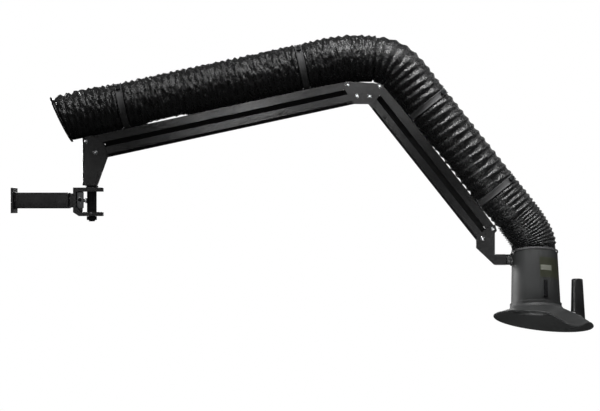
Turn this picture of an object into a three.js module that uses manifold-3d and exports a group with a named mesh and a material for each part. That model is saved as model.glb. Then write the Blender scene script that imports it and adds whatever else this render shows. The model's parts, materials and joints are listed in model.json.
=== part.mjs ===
// A wall-mounted fume extraction arm: two spring-balanced parallelogram links carry a ribbed hose and a hood.
// Millimetres, +Z up, +X out from the wall. The origin is the middle of the wall plate's back face.
import * as THREE from "three";
import { mergeVertices } from "three/addons/utils/BufferGeometryUtils.js";
import Module from "manifold-3d";

const wasm = await Module();
wasm.setup();

// Fits
const GAP = 0.4;
const PIN_FIT = 0.6;
const THROUGH = 60;

// Wall bracket and slewing fork
const PLATE = { thick: 8, wide: 130, tall: 86, holeX: 46, holeZ: 29, holeRadius: 5.5 };
const TUBE = { side: 54, wall: 4, end: 192 };
const SLEW_X = 268;
const FORK = { web: 10, halfWide: 27, lugTop: 44, lugBottom: -53, lugThick: 14, reach: 38 };
const FORK_NECK = { length: 14, overlap: 4, halfWide: 21, half: 24 };
const FORK_RIB = { reach: 20, half: 11 };
const GUSSET = { set: 20, foot: 40, rise: 18 };
const COLUMN = { radius: 16.5, top: 62, bottom: -71, flange: 22, flangeThick: 6 };
const COLUMN_NUT = { stub: 11, radius: 19, thick: 13 };
const BUSH_WALL = 3;
const BRAKE = { thick: 5, half: 9, screw: 6, inset: 4 };

// Upright that turns on the column
const UPRIGHT = { wall: 3, halfWide: 24, back: 238, waist: 286, shoulder: 323, foot: 51, top: 153 };
const UPRIGHT_CROWN = { lid: 1.2, flat: 22, corner: 30 };
const UPRIGHT_BAY = { floor: 96, top: 260, slotDrop: 24, slotEnd: 300, end: 400 };

// Parallelogram links: pivots, lengths and rest angles
const TOP_PIVOT = { x: 250, z: 201 };
const UPPER_LINK = { x: 32, z: -38 };
const UPPER_LENGTH = 908;
const UPPER_RISE = THREE.MathUtils.degToRad(12.2);
const ELBOW_SPAN = { x: 109, z: -5 };
const LOWER_LINK = { x: -35, z: -33.7 };
const LOWER_LENGTH = 617.3;
const LOWER_DROP = THREE.MathUtils.degToRad(51.6);
const UPPER_BAR = { above: 13.6, below: 15, end: 12, wide: 30, wall: 2.5 };
const LOWER_BAR = { above: 13, below: 18, end: 9.6, wide: 30, wall: 2.5 };
const UPPER_TIE = { above: 12, below: 24, end: 12, wide: 30, wall: 2.5 };
const LOWER_TIE = { above: 12, below: 19, end: 12, wide: 30, wall: 2.5 };
const PIN_RADIUS = 6;
const PIN_HEAD = { radius: 7.5, thick: 4.5 };
const CHEEK = { inner: 16, thick: 4 };
const BAR_CAP = 24;
const BAR_RAMP = 90;

// Elbow bracket: its edge distances about the four pivots
const ELBOW = { reach: 15, foot: 26, drop: 8, crownLeft: 6, crownRight: 3, crown: 12, crownOut: 8, corner: 3 };
const ELBOW_BRIDGE = { inset: 20, low: 7, high: 11 };

// Gas struts inside the tie bars
const STRUT = { radius: 8, rod: 4, offset: -3.5, sleeve: 60, seat: 5 };
const STRUT_EYE = { radius: 7, thick: 8, pin: 3, pinOut: 2 };
const UPPER_STRUT = { start: 110, bodyEnd: 430, end: 640 };
const LOWER_STRUT = { start: 90, bodyEnd: 300, end: 450 };

// Hose
const HOSE = { radius: 78, root: 71.5, bore: 68, sides: 8, pitch: 26, boreStep: 75 };
const OUTLET_SPLIT = 0.55;
const UPPER_LIFT = 92.4;
const LOWER_LIFT = 92;
const INLET = { along: -70, lift: 90.7, turn: THREE.MathUtils.degToRad(14) };
const CUFF = { inner: 74, outer: 84.5, half: 4, along: -66 };
const SADDLE = { start: -50, end: -3, armEnd: 18, half: 23.5, armInner: 16.4, thick: 2.6, lift: 1.2 };
const STRAP = { inner: 72.6, outer: 77.5, wide: 22, foot: 30, footHalf: 13 };
const UPPER_STRAPS = [146, 770];
const LOWER_STRAPS = [150, 522];
const ELBOW_CREST = { x: -16.5, z: 93, turn: THREE.MathUtils.degToRad(-5.1) };
const ELBOW_IN_HANDLES = [127, 110];
const ELBOW_OUT_HANDLES = [83, 134];
const INLET_HANDLES = [60, 60];
const OUTLET_HANDLES = [140, 64];
const HOSE_NECK = 13;
const HOSE_SEAM = 2;
const HOSE_TAIL = 20;

// Hanger and hood
const HANGER = { side: 19, nose: 14, drop: 32, shoulder: 8, crown: 13, crownLeft: 10, neck: 7, legCorner: 42 };
const HANGER_LEG = { start: 1640, top: -183, bottom: -219, end: 1676 };
const HOOD_BOLT = { radius: 7, head: 11, headThick: 9, depth: 8, spare: 4 };
const HOOD_X = 1774;
const HOOD_AXIS_Z = -201;
const HOOD_ROLL = THREE.MathUtils.degToRad(-13);
const NOZZLE = { radius: 77.5, foot: 84, wall: 3, top: 22, bottom: -170, spigot: 59, spigotTop: 34 };
const COLLAR = { inner: 76.6, outer: 79.6, low: 22.4, high: 29 };
const BOSS = { radius: 18, start: -97, end: -74, plate: 21.5, plateStart: -83 };
const FLANGE = { throat: 84.6, wall: 3, collar: -154, lip: -164, rim: 165.5, depth: -211, shift: 24.5 };
const FLANGE_SIDES = 36;
const FLANGE_NECK = { radius: 90, z: -176, share: 0.12, midShare: 0.56 };
const FLANGE_TILT = THREE.MathUtils.degToRad(6.9);
const DROOP_AZIMUTH = THREE.MathUtils.degToRad(-60);
const DROOP = { depth: 30, halfWidth: THREE.MathUtils.degToRad(36), start: 96, power: 1.8 };
const HANDLE = { x: 141.5, y: -4, foot: -236, top: -68, topHalf: 19, footHalf: 26, flat: 0.72, cut: 60 };
const DAMPER = { z: -92, turn: THREE.MathUtils.degToRad(17.5), radius: 70, thick: 2.5, hub: 8, spindle: 4 };
const SPINDLE = { start: 90, back: 84, span: 200 };
const LEVER = { length: 52, half: 6, thick: 6 };

// Finishes
function finish(color, roughness, metalness) {
  return new THREE.MeshStandardMaterial({ color, roughness, metalness });
}

const BLACK_PAINT = finish(0x1c1d1e, 0.45, 0.2);
const HOSE_FABRIC = finish(0x17181a, 0.62, 0.0);
const STRAP_RUBBER = finish(0x3a3c3d, 0.6, 0.0);
const HOOD_PLASTIC = finish(0x303335, 0.5, 0.0);
const ZINC = finish(0xb9bcbe, 0.32, 0.9);
const BRONZE = finish(0x9a7b45, 0.4, 0.8);
const STRUT_STEEL = finish(0x26282a, 0.35, 0.6);

// Geometry helpers
function solid(geometry) {
  const bare = geometry.clone();
  bare.deleteAttribute("normal");
  bare.deleteAttribute("uv");
  const merged = mergeVertices(bare, 1e-4);
  return new wasm.Manifold(
    new wasm.Mesh({
      numProp: 3,
      vertProperties: merged.attributes.position.array,
      triVerts: new Uint32Array(merged.index.array),
    }),
  );
}

function geometryOf(body) {
  const mesh = body.getMesh();
  const geometry = new THREE.BufferGeometry();
  geometry.setAttribute("position", new THREE.BufferAttribute(new Float32Array(mesh.vertProperties), 3));
  geometry.setIndex(new THREE.BufferAttribute(new Uint32Array(mesh.triVerts), 1));
  geometry.computeVertexNormals();
  return geometry;
}

function block(x0, x1, y0, y1, z0, z1) {
  const box = new THREE.BoxGeometry(x1 - x0, y1 - y0, z1 - z0);
  return solid(box.translate((x0 + x1) / 2, (y0 + y1) / 2, (z0 + z1) / 2));
}

// A round bar along x, y or z, from one coordinate to another.
function rod(axis, radius, from, to, at = [0, 0], sides = 12) {
  const bar = new THREE.CylinderGeometry(radius, radius, to - from, sides);
  const middle = (from + to) / 2;
  if (axis === "x") bar.rotateZ(Math.PI / 2).translate(middle, at[0], at[1]);
  if (axis === "y") bar.translate(at[0], middle, at[1]);
  if (axis === "z") bar.rotateX(Math.PI / 2).translate(at[0], at[1], middle);
  return solid(bar);
}

// A plate whose outline lies in the XZ plane, between two values of y.
function plateXZ(outline, y0, y1) {
  const corners = (points) => points.map(([x, z]) => new THREE.Vector2(x, z));
  const shape = outline instanceof THREE.Shape ? outline : new THREE.Shape(corners(outline));
  const plate = new THREE.ExtrudeGeometry(shape, { depth: y1 - y0, bevelEnabled: false, curveSegments: 6 });
  return solid(plate.rotateX(Math.PI / 2).translate(0, y1, 0));
}

// A turned ring about z, straight or tapered.
function ring(inner, outer, z0, z1, sides = 24, taper = 0) {
  const profile = [[inner + taper, z0], [outer + taper, z0], [outer, z1], [inner, z1], [inner + taper, z0]];
  const lathe = new THREE.LatheGeometry(profile.map(([r, z]) => new THREE.Vector2(r, z)), sides);
  return solid(lathe.rotateX(Math.PI / 2));
}

function named(name, body, material) {
  const mesh = new THREE.Mesh(body.isBufferGeometry ? body : geometryOf(body), material);
  mesh.name = name;
  return mesh;
}

// A bar's outline along its pivot line: round ends about both pivots, and a top edge that ramps up from them.
function barOutline(length, { above, below, end }) {
  const foot = below - end * Math.SQRT2;
  const shape = new THREE.Shape();
  shape.moveTo(BAR_RAMP, above);
  shape.lineTo(0, end);
  shape.absarc(0, 0, end, Math.PI / 2, 1.25 * Math.PI, false);
  shape.lineTo(foot, -below);
  shape.lineTo(length - foot, -below);
  shape.absarc(length, 0, end, -0.25 * Math.PI, 0.5 * Math.PI, false);
  shape.lineTo(length - BAR_RAMP, above);
  shape.lineTo(BAR_RAMP, above);
  return shape;
}

function pinHole(x, z) {
  return rod("y", PIN_RADIUS + PIN_FIT, -THROUGH, THROUGH, [x, z]);
}

// A pressed channel bar; the tie bars are open at the top, the hose bars at the bottom.
function channelBar(length, section, openTop) {
  const { above, below, end, wall } = section;
  const halfWide = section.wide / 2;
  const inside = halfWide - wall;
  const far = length - BAR_CAP;
  const ceiling = above - wall;
  const capCeiling = end + ((above - end) * BAR_CAP) / BAR_RAMP - wall;
  const tunnel = [
    [BAR_CAP, -below - 1],
    [far, -below - 1],
    [far, capCeiling],
    [length - BAR_RAMP, ceiling],
    [BAR_RAMP, ceiling],
    [BAR_CAP, capCeiling],
  ];
  const hollow = openTop
    ? block(BAR_CAP, far, -inside, inside, wall - below, above + 1)
    : plateXZ(tunnel, -inside, inside);
  return plateXZ(barOutline(length, section), -halfWide, halfWide)
    .subtract(hollow)
    .subtract(pinHole(0, 0))
    .subtract(pinHole(length, 0));
}

// A pivot bolt along y: shank through both cheeks, a domed head at the front and a nut at the back.
function pivotPin(name, x, z, cheekOuter) {
  const face = cheekOuter + GAP;
  const shank = rod("y", PIN_RADIUS, -face - 1, face + 1, [x, z]);
  const head = rod("y", PIN_HEAD.radius, -face - PIN_HEAD.thick, -face, [x, z]);
  const nut = rod("y", PIN_HEAD.radius, face, face + PIN_HEAD.thick, [x, z], 6);
  return named(name, shank.add(head).add(nut), ZINC);
}

// A gas strut inside a tie bar: cylinder, rod and a cross pin at each end.
function gasStrut(prefix, place, halfWide) {
  const z = STRUT.offset;
  const eye = (x) => rod("y", STRUT_EYE.radius, -STRUT_EYE.thick / 2, STRUT_EYE.thick / 2, [x, z]);
  const eyeHole = (x) => rod("y", STRUT_EYE.pin + PIN_FIT, -THROUGH, THROUGH, [x, z]);
  const sleeveStart = place.bodyEnd - STRUT.sleeve;
  const body = rod("x", STRUT.radius, place.start + STRUT.seat, place.bodyEnd, [0, z])
    .add(eye(place.start))
    .subtract(eyeHole(place.start))
    .subtract(rod("x", STRUT.rod + GAP, sleeveStart, place.bodyEnd + 1, [0, z]));
  const piston = rod("x", STRUT.rod, sleeveStart + STRUT.seat, place.end - STRUT.seat, [0, z])
    .add(eye(place.end))
    .subtract(eyeHole(place.end));
  const pinEnd = halfWide + STRUT_EYE.pinOut;
  const cross = (x) => rod("y", STRUT_EYE.pin, -pinEnd, pinEnd, [x, z]);
  return [
    named(prefix + "_strut_cylinder", body, STRUT_STEEL),
    named(prefix + "_strut_rod", piston, ZINC),
    named(prefix + "_strut_fixed_pin", cross(place.start), STRUT_STEEL),
    named(prefix + "_strut_rod_pin", cross(place.end), STRUT_STEEL),
  ];
}

// Holes in a tie bar's walls for its strut's cross pins.
function strutHoles(place) {
  const hole = (x) => rod("y", STRUT_EYE.pin + PIN_FIT, -THROUGH, THROUGH, [x, STRUT.offset]);
  return hole(place.start).add(hole(place.end));
}

// A ribbed hose along a curve: sharp ribs outside and a smooth bore inside, with plain flat ends.
function ribbedHose(curve, plainStart, plainEnd) {
  const length = curve.getLength();
  const ribbed = length - plainStart - plainEnd;
  const ribs = Math.round(ribbed / HOSE.pitch);
  const step = ribbed / ribs;
  const rings = [[0, HOSE.root]];
  for (let i = 0; i < ribs; i++) {
    const start = plainStart + i * step;
    rings.push([start, HOSE.root], [start + step / 2, HOSE.radius]);
  }
  rings.push([length - plainEnd, HOSE.root], [length, HOSE.root]);
  const boreRings = Math.max(2, Math.ceil(length / HOSE.boreStep));
  for (let i = boreRings; i >= 0; i--) rings.push([(length * i) / boreRings, HOSE.bore]);

  const positions = [];
  const side = new THREE.Vector3();
  const up = new THREE.Vector3();
  const across = new THREE.Vector3(0, 1, 0);
  for (const [s, radius] of rings) {
    const point = curve.getPointAt(THREE.MathUtils.clamp(s / length, 0, 1));
    const tangent = curve.getTangentAt(THREE.MathUtils.clamp(s / length, 0, 1));
    up.crossVectors(tangent, across).normalize();
    side.crossVectors(up, tangent).normalize();
    for (let k = 0; k < HOSE.sides; k++) {
      const angle = (k / HOSE.sides) * 2 * Math.PI;
      const spot = point.clone();
      spot.addScaledVector(side, radius * Math.cos(angle));
      spot.addScaledVector(up, radius * Math.sin(angle));
      positions.push(spot.x, spot.y, spot.z);
    }
  }
  const index = [];
  for (let r = 0; r < rings.length; r++) {
    const next = (r + 1) % rings.length;
    for (let k = 0; k < HOSE.sides; k++) {
      const a = r * HOSE.sides + k;
      const b = r * HOSE.sides + ((k + 1) % HOSE.sides);
      const c = next * HOSE.sides + k;
      const d = next * HOSE.sides + ((k + 1) % HOSE.sides);
      index.push(a, b, c, b, d, c);
    }
  }
  const geometry = new THREE.BufferGeometry();
  geometry.setAttribute("position", new THREE.Float32BufferAttribute(positions, 3));
  geometry.setIndex(index);
  geometry.computeVertexNormals();
  return geometry;
}

// Frames of the links
const polar = (angle) => ({ x: Math.cos(angle), z: Math.sin(angle) });
const upperWay = polar(UPPER_RISE);
const lowerWay = polar(-LOWER_DROP);
const along = (start, way, distance, lift = 0) =>
  new THREE.Vector3(start.x + way.x * distance - way.z * lift, 0, start.z + way.z * distance + way.x * lift);
const plus = (point, offset) => ({ x: point.x + offset.x, z: point.z + offset.z });

const rearTop = TOP_PIVOT;
const rearTie = plus(rearTop, UPPER_LINK);
const elbowTop = along(rearTop, upperWay, UPPER_LENGTH);
const elbowTie = plus(elbowTop, UPPER_LINK);
const elbowOut = plus(elbowTop, ELBOW_SPAN);
const elbowOutTie = plus(elbowOut, LOWER_LINK);
const hangerTop = along(elbowOut, lowerWay, LOWER_LENGTH);
const hangerTie = plus(hangerTop, LOWER_LINK);

function linkGroup(pivot, angle) {
  const group = new THREE.Group();
  group.position.set(pivot.x, 0, pivot.z);
  group.rotation.y = -angle;
  return group;
}

// Wall bracket, fixed
function wallBracket() {
  let plate = block(0, PLATE.thick, -PLATE.wide / 2, PLATE.wide / 2, -PLATE.tall / 2, PLATE.tall / 2);
  for (const y of [-PLATE.holeX, PLATE.holeX])
    for (const z of [-PLATE.holeZ, PLATE.holeZ])
      plate = plate.subtract(rod("x", PLATE.holeRadius, -1, PLATE.thick + 1, [y, z]));
  const half = TUBE.side / 2;
  const inner = half - TUBE.wall;
  const tubeStart = PLATE.thick + GAP;
  const tube = block(tubeStart, TUBE.end, -half, half, -half, half).subtract(
    block(tubeStart - 1, TUBE.end + 1, -inner, inner, -inner, inner),
  );
  return [named("wall_plate", plate, BLACK_PAINT), named("wall_tube", tube, BLACK_PAINT)];
}

// Fork: a web on the tube's end, two lugs round the column and a slanted gusset under the web
function slewFork() {
  const start = TUBE.end + GAP;
  const end = SLEW_X + FORK.reach;
  const wide = FORK.halfWide;
  const lugLow = FORK.lugTop - FORK.lugThick;
  const lugHigh = FORK.lugBottom + FORK.lugThick;
  const socket = COLUMN.radius + BUSH_WALL + 2 * GAP;
  const back = start + FORK_NECK.length;
  const neckWide = FORK_NECK.halfWide;
  const neck = block(start, back + FORK_NECK.overlap, -neckWide, neckWide, -FORK_NECK.half, FORK_NECK.half);
  const web = block(back, back + FORK.web, -wide, wide, lugHigh - 1, FORK.lugTop);
  const top = block(back, end, -wide, wide, lugLow, FORK.lugTop);
  const bottom = block(back + GUSSET.set, end, -wide, wide, FORK.lugBottom, lugHigh);
  const gusset = plateXZ(
    [
      [back, lugHigh + GUSSET.rise],
      [back, lugHigh - 1],
      [back + GUSSET.set, FORK.lugBottom],
      [back + GUSSET.foot, FORK.lugBottom],
      [back + FORK.web, lugHigh + GUSSET.rise],
    ],
    -wide,
    wide,
  );
  const ribEnd = back + FORK.web + FORK_RIB.reach;
  const rib = block(back, ribEnd, -FORK_RIB.half, FORK_RIB.half, lugHigh - 1, lugLow + 1);
  const bore = rod("z", socket, FORK.lugBottom - 1, FORK.lugTop + 1, [SLEW_X, 0], 24);
  const brakeWay = rod("x", BRAKE.screw + GAP, start - 1, SLEW_X);
  const fork = neck.add(web).add(top).add(bottom).add(gusset).add(rib).subtract(bore).subtract(brakeWay);
  const bush = (name, z0, z1) => {
    const body = ring(COLUMN.radius + GAP, socket - GAP, z0, z1);
    const mesh = named(name, body, BRONZE);
    mesh.position.x = SLEW_X;
    return mesh;
  };
  const padFace = SLEW_X - COLUMN.radius - GAP;
  const pad = block(padFace - BRAKE.thick, padFace, -BRAKE.half, BRAKE.half, -BRAKE.half, BRAKE.half);
  const screw = rod("x", BRAKE.screw, start + BRAKE.inset, padFace - BRAKE.thick - GAP);
  return [
    named("slew_fork", fork, BLACK_PAINT),
    bush("upper_column_bush", lugLow, FORK.lugTop),
    bush("lower_column_bush", FORK.lugBottom, lugHigh),
    named("slew_brake_pad", pad, ZINC),
    named("slew_brake_screw", screw, ZINC),
  ];
}

// Column and upright that slew together
function uprightAssembly() {
  const nutTop = FORK.lugBottom - GAP;
  const nutLow = nutTop - COLUMN_NUT.thick;
  const column = rod("z", COLUMN.radius, FORK.lugBottom, COLUMN.top, [SLEW_X, 0])
    .add(rod("z", COLUMN_NUT.stub, COLUMN.bottom, FORK.lugBottom + 1, [SLEW_X, 0]))
    .add(rod("z", COLUMN.flange, FORK.lugTop + GAP, FORK.lugTop + GAP + COLUMN.flangeThick, [SLEW_X, 0]));
  const nut = rod("z", COLUMN_NUT.radius, nutLow, nutTop, [SLEW_X, 0], 6).subtract(
    rod("z", COLUMN_NUT.stub + GAP, nutLow - 1, nutTop + 1, [SLEW_X, 0]),
  );

  const outer = UPRIGHT.halfWide;
  const lid = (UPPER_BAR.above + UPRIGHT_CROWN.lid) / Math.cos(UPPER_RISE);
  const topLine = (x) => rearTop.z + (x - rearTop.x) * Math.tan(UPPER_RISE) + lid;
  const outline = [
    [UPRIGHT.back, UPRIGHT.foot],
    [UPRIGHT.waist, UPRIGHT.foot],
    [UPRIGHT.shoulder, UPRIGHT.top],
    [rearTie.x + UPRIGHT_CROWN.corner, rearTie.z + UPRIGHT_CROWN.corner],
    [rearTop.x + UPRIGHT_CROWN.flat, topLine(rearTop.x + UPRIGHT_CROWN.flat)],
    [UPRIGHT.back, topLine(UPRIGHT.back)],
  ];
  const { floor, top, end, slotEnd } = UPRIGHT_BAY;
  const slotFloor = rearTop.z - UPRIGHT_BAY.slotDrop;
  const bay = block(UPRIGHT.back + UPRIGHT.wall, end, -CHEEK.inner, CHEEK.inner, floor, top);
  const rearSlot = block(UPRIGHT.back - 1, slotEnd, -CHEEK.inner, CHEEK.inner, slotFloor, top);
  const upright = plateXZ(outline, -outer, outer)
    .subtract(bay)
    .subtract(rearSlot)
    .subtract(pinHole(rearTop.x, rearTop.z))
    .subtract(pinHole(rearTie.x, rearTie.z))
    .subtract(rod("z", COLUMN.radius + GAP, 0, COLUMN.top + GAP, [SLEW_X, 0]));

  const cuffGroup = linkGroup(rearTop, UPPER_RISE);
  const saddleLow = UPPER_BAR.above + SADDLE.lift;
  const saddleHigh = saddleLow + SADDLE.thick;
  const saddle = block(SADDLE.start, SADDLE.end, -SADDLE.half, SADDLE.half, saddleLow, saddleHigh)
    .add(block(SADDLE.start, SADDLE.armEnd, -SADDLE.half, -SADDLE.armInner, saddleLow, saddleHigh))
    .add(block(SADDLE.start, SADDLE.armEnd, SADDLE.armInner, SADDLE.half, saddleLow, saddleHigh));
  const cuffRing = geometryOf(ring(CUFF.inner, CUFF.outer, -CUFF.half, CUFF.half));
  cuffRing.rotateY(Math.PI / 2 - INLET.turn).translate(CUFF.along, 0, INLET.lift);
  const cuff = saddle.add(solid(cuffRing));
  cuffGroup.add(named("inlet_cuff", cuff, BLACK_PAINT));
  return [
    named("slew_column", column, STRUT_STEEL),
    named("column_nut", nut, STRUT_STEEL),
    named("upright", upright, BLACK_PAINT),
    pivotPin("rear_top_pin", rearTop.x, rearTop.z, outer),
    pivotPin("rear_tie_pin", rearTie.x, rearTie.z, outer),
    cuffGroup,
  ];
}

// One hose strap: a band round the hose with a foot that sits on the hose bar
function hoseStrap(name, distance, lift, barTop) {
  const band = geometryOf(ring(STRAP.inner, STRAP.outer, -STRAP.wide / 2, STRAP.wide / 2));
  band.rotateY(Math.PI / 2).translate(distance, 0, lift);
  const reach = STRAP.foot / 2;
  const footTop = lift - STRAP.inner - 2;
  const footLow = barTop + GAP;
  const foot = block(distance - reach, distance + reach, -STRAP.footHalf, STRAP.footHalf, footLow, footTop);
  return named(name, solid(band).add(foot), STRAP_RUBBER);
}

// One arm: the hose bar with its straps and the tie bar with its gas strut
function arm(prefix, { topPivot, tiePivot, angle, length, barSection, tieSection, lift, straps, strut }) {
  const topGroup = linkGroup(topPivot, angle);
  topGroup.add(named(prefix + "_hose_bar", channelBar(length, barSection, false), BLACK_PAINT));
  straps.forEach((distance, i) =>
    topGroup.add(hoseStrap(prefix + "_hose_strap_" + (i + 1), distance, lift, barSection.above)),
  );
  const tieGroup = linkGroup(tiePivot, angle);
  const tie = channelBar(length, tieSection, true).subtract(strutHoles(strut));
  tieGroup.add(named(prefix + "_tie_bar", tie, BLACK_PAINT));
  gasStrut(prefix, strut, tieSection.wide / 2).forEach((mesh) => tieGroup.add(mesh));
  return [topGroup, tieGroup];
}

// Elbow: two cheeks joined by a bridge under the hose, with the four pivot bolts
function elbow() {
  const outer = CHEEK.inner + CHEEK.thick;
  const { reach, drop, corner } = ELBOW;
  const outline = [
    [elbowTop.x - reach, elbowTop.z - drop],
    [elbowTie.x - reach, elbowTie.z - ELBOW.foot],
    [elbowOutTie.x + reach, elbowOutTie.z - ELBOW.foot],
    [elbowOut.x + reach, elbowOut.z - drop],
    [elbowOut.x + reach - corner, elbowOut.z + corner],
    [elbowOut.x + ELBOW.crownRight, elbowOut.z + ELBOW.crownOut],
    [elbowTop.x - ELBOW.crownLeft, elbowTop.z + ELBOW.crown],
    [elbowTop.x - reach + corner, elbowTop.z + drop],
  ];
  const bridgeStart = elbowTop.x + ELBOW_BRIDGE.inset;
  const bridgeEnd = elbowOut.x - ELBOW_BRIDGE.inset;
  const bridgeLow = elbowOut.z + ELBOW_BRIDGE.low;
  const bridgeHigh = elbowOut.z + ELBOW_BRIDGE.high;
  const pivots = [
    ["elbow_upper_top_pin", elbowTop],
    ["elbow_upper_tie_pin", elbowTie],
    ["elbow_lower_top_pin", elbowOut],
    ["elbow_lower_tie_pin", elbowOutTie],
  ];
  let bracket = plateXZ(outline, -outer, -CHEEK.inner)
    .add(plateXZ(outline, CHEEK.inner, outer))
    .add(block(bridgeStart, bridgeEnd, -outer, outer, bridgeLow, bridgeHigh));
  for (const [, at] of pivots) bracket = bracket.subtract(pinHole(at.x, at.z));
  return [
    named("elbow_bracket", bracket, BLACK_PAINT),
    ...pivots.map(([name, at]) => pivotPin(name, at.x, at.z, outer)),
  ];
}

// Hanger: two cheeks at the lower pivots, and a foot that reaches to the hood's side
function hanger() {
  const outer = CHEEK.inner + CHEEK.thick;
  const { side, nose, shoulder, crown, neck } = HANGER;
  const outline = [
    [hangerTie.x - side, hangerTie.z + shoulder],
    [hangerTie.x - side, hangerTie.z - HANGER.drop],
    [hangerTie.x + HANGER.legCorner, HANGER_LEG.bottom],
    [HANGER_LEG.end, HANGER_LEG.bottom],
    [HANGER_LEG.end, HANGER_LEG.top],
    [hangerTop.x + neck, HANGER_LEG.top],
    [hangerTop.x + neck, hangerTop.z - nose],
    [hangerTop.x + nose, hangerTop.z - neck],
    [hangerTop.x + shoulder, hangerTop.z + crown],
    [hangerTop.x - HANGER.crownLeft, hangerTop.z + crown],
  ];
  const leg = block(HANGER_LEG.start, HANGER_LEG.end, -outer, outer, HANGER_LEG.bottom, HANGER_LEG.top);
  const at = [0, HOOD_AXIS_Z];
  const boltHole = rod("x", HOOD_BOLT.radius + PIN_FIT, HANGER_LEG.start - 1, HANGER_LEG.end + 1, at);
  const bracket = plateXZ(outline, -outer, -CHEEK.inner)
    .add(plateXZ(outline, CHEEK.inner, outer))
    .add(leg)
    .subtract(boltHole)
    .subtract(pinHole(hangerTop.x, hangerTop.z))
    .subtract(pinHole(hangerTie.x, hangerTie.z));
  const headEnd = HANGER_LEG.start - GAP;
  const shank = rod("x", HOOD_BOLT.radius, headEnd - 1, HOOD_X + BOSS.start + HOOD_BOLT.depth, at);
  const head = rod("x", HOOD_BOLT.head, headEnd - HOOD_BOLT.headThick, headEnd, at, 6);
  return [
    named("hanger_bracket", bracket, BLACK_PAINT),
    pivotPin("hanger_top_pin", hangerTop.x, hangerTop.z, outer),
    pivotPin("hanger_tie_pin", hangerTie.x, hangerTie.z, outer),
    named("hood_pivot_bolt", shank.add(head), ZINC),
  ];
}

// Flange: a shallow bell whose rim droops on the handle side; one closed skin of even thickness
function flangeSkin(raise = 0, thick = FLANGE.wall) {
  const sides = FLANGE_SIDES;
  const midRadius = (FLANGE_NECK.radius + FLANGE.rim) / 2;
  const midZ = (FLANGE_NECK.z + FLANGE.depth) / 2;
  const stations = [
    [FLANGE.throat, FLANGE.collar, 0],
    [FLANGE.throat, FLANGE.lip, 0],
    [FLANGE_NECK.radius, FLANGE_NECK.z, FLANGE_NECK.share],
    [midRadius, midZ, FLANGE_NECK.midShare],
    [FLANGE.rim, FLANGE.depth, 1],
  ];
  const loop = [
    ...stations.map(([r, z, s]) => [r + FLANGE.wall, z + (s > 0 ? FLANGE.wall + raise : 0), s]),
    ...stations.map(([r, z, s]) => [r, z + FLANGE.wall - (s > 0 ? thick : FLANGE.wall), s]).reverse(),
  ];
  const positions = [];
  for (const [r, z, s] of loop)
    for (let k = 0; k < sides; k++) {
      const azimuth = (k / sides) * 2 * Math.PI;
      const turned = THREE.MathUtils.euclideanModulo(azimuth - DROOP_AZIMUTH + Math.PI, 2 * Math.PI);
      const away = Math.abs(turned - Math.PI);
      const facing = Math.cos((Math.min(1, away / DROOP.halfWidth) * Math.PI) / 2) ** 2;
      const outward = Math.max(0, (r - DROOP.start) / (FLANGE.rim - DROOP.start));
      const sag = DROOP.depth * facing * outward ** DROOP.power;
      const x = r * Math.cos(azimuth) + s * FLANGE.shift;
      positions.push(x, r * Math.sin(azimuth), z - sag - s * x * Math.tan(FLANGE_TILT));
    }
  const index = [];
  for (let r = 0; r < loop.length; r++) {
    const next = (r + 1) % loop.length;
    for (let k = 0; k < sides; k++) {
      const a = r * sides + k;
      const b = r * sides + ((k + 1) % sides);
      const c = next * sides + k;
      const d = next * sides + ((k + 1) % sides);
      index.push(a, c, b, b, c, d);
    }
  }
  const geometry = new THREE.BufferGeometry();
  geometry.setAttribute("position", new THREE.Float32BufferAttribute(positions, 3));
  geometry.setIndex(index);
  geometry.computeVertexNormals();
  return geometry;
}

// Hood, in a group whose origin is on the roll axis at the middle of the nozzle
function hood() {
  const group = new THREE.Group();
  group.position.set(HOOD_X, 0, HOOD_AXIS_Z);
  group.rotation.x = HOOD_ROLL;
  const holeRadius = DAMPER.spindle + PIN_FIT;
  const spindleBar = new THREE.CylinderGeometry(holeRadius, holeRadius, SPINDLE.span, 12);
  const spindleHole = solid(spindleBar.rotateZ(DAMPER.turn).translate(0, 0, DAMPER.z));
  const boltEnd = BOSS.start + HOOD_BOLT.depth + HOOD_BOLT.spare;
  const boltHole = rod("x", HOOD_BOLT.radius + PIN_FIT, BOSS.start - 1, boltEnd);
  const boss = rod("x", BOSS.radius, BOSS.start, BOSS.end).add(rod("x", BOSS.plate, BOSS.plateStart, BOSS.end));
  const spigotBore = NOZZLE.spigot - NOZZLE.wall;
  const taper = NOZZLE.foot - NOZZLE.radius;
  const nozzle = ring(NOZZLE.radius - NOZZLE.wall, NOZZLE.radius, NOZZLE.bottom, NOZZLE.top, 24, taper)
    .add(ring(spigotBore, NOZZLE.spigot, NOZZLE.top - NOZZLE.wall, NOZZLE.spigotTop))
    .add(ring(spigotBore, NOZZLE.radius, NOZZLE.top - NOZZLE.wall, NOZZLE.top))
    .add(boss)
    .subtract(boltHole)
    .subtract(spindleHole);
  group.add(named("hood_nozzle", nozzle, HOOD_PLASTIC));

  const collar = ring(COLLAR.inner, COLLAR.outer, COLLAR.low, COLLAR.high);
  group.add(named("hose_collar", collar, STRAP_RUBBER));

  group.add(named("hood_flange", flangeSkin(), HOOD_PLASTIC));
  group.add(named("hood_handle", handleGrip(), HOOD_PLASTIC));
  group.add(damper());
  return group;
}

// Grip: a tapered post, flatter fore and aft, whose foot follows the flange's upper face
function handleGrip() {
  const grip = new THREE.CylinderGeometry(HANDLE.topHalf, HANDLE.footHalf, HANDLE.top - HANDLE.foot, 16);
  grip.rotateX(Math.PI / 2).scale(1, HANDLE.flat, 1);
  grip.translate(HANDLE.x, HANDLE.y, (HANDLE.top + HANDLE.foot) / 2);
  return solid(grip).subtract(solid(flangeSkin(GAP, HANDLE.cut)));
}

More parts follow.
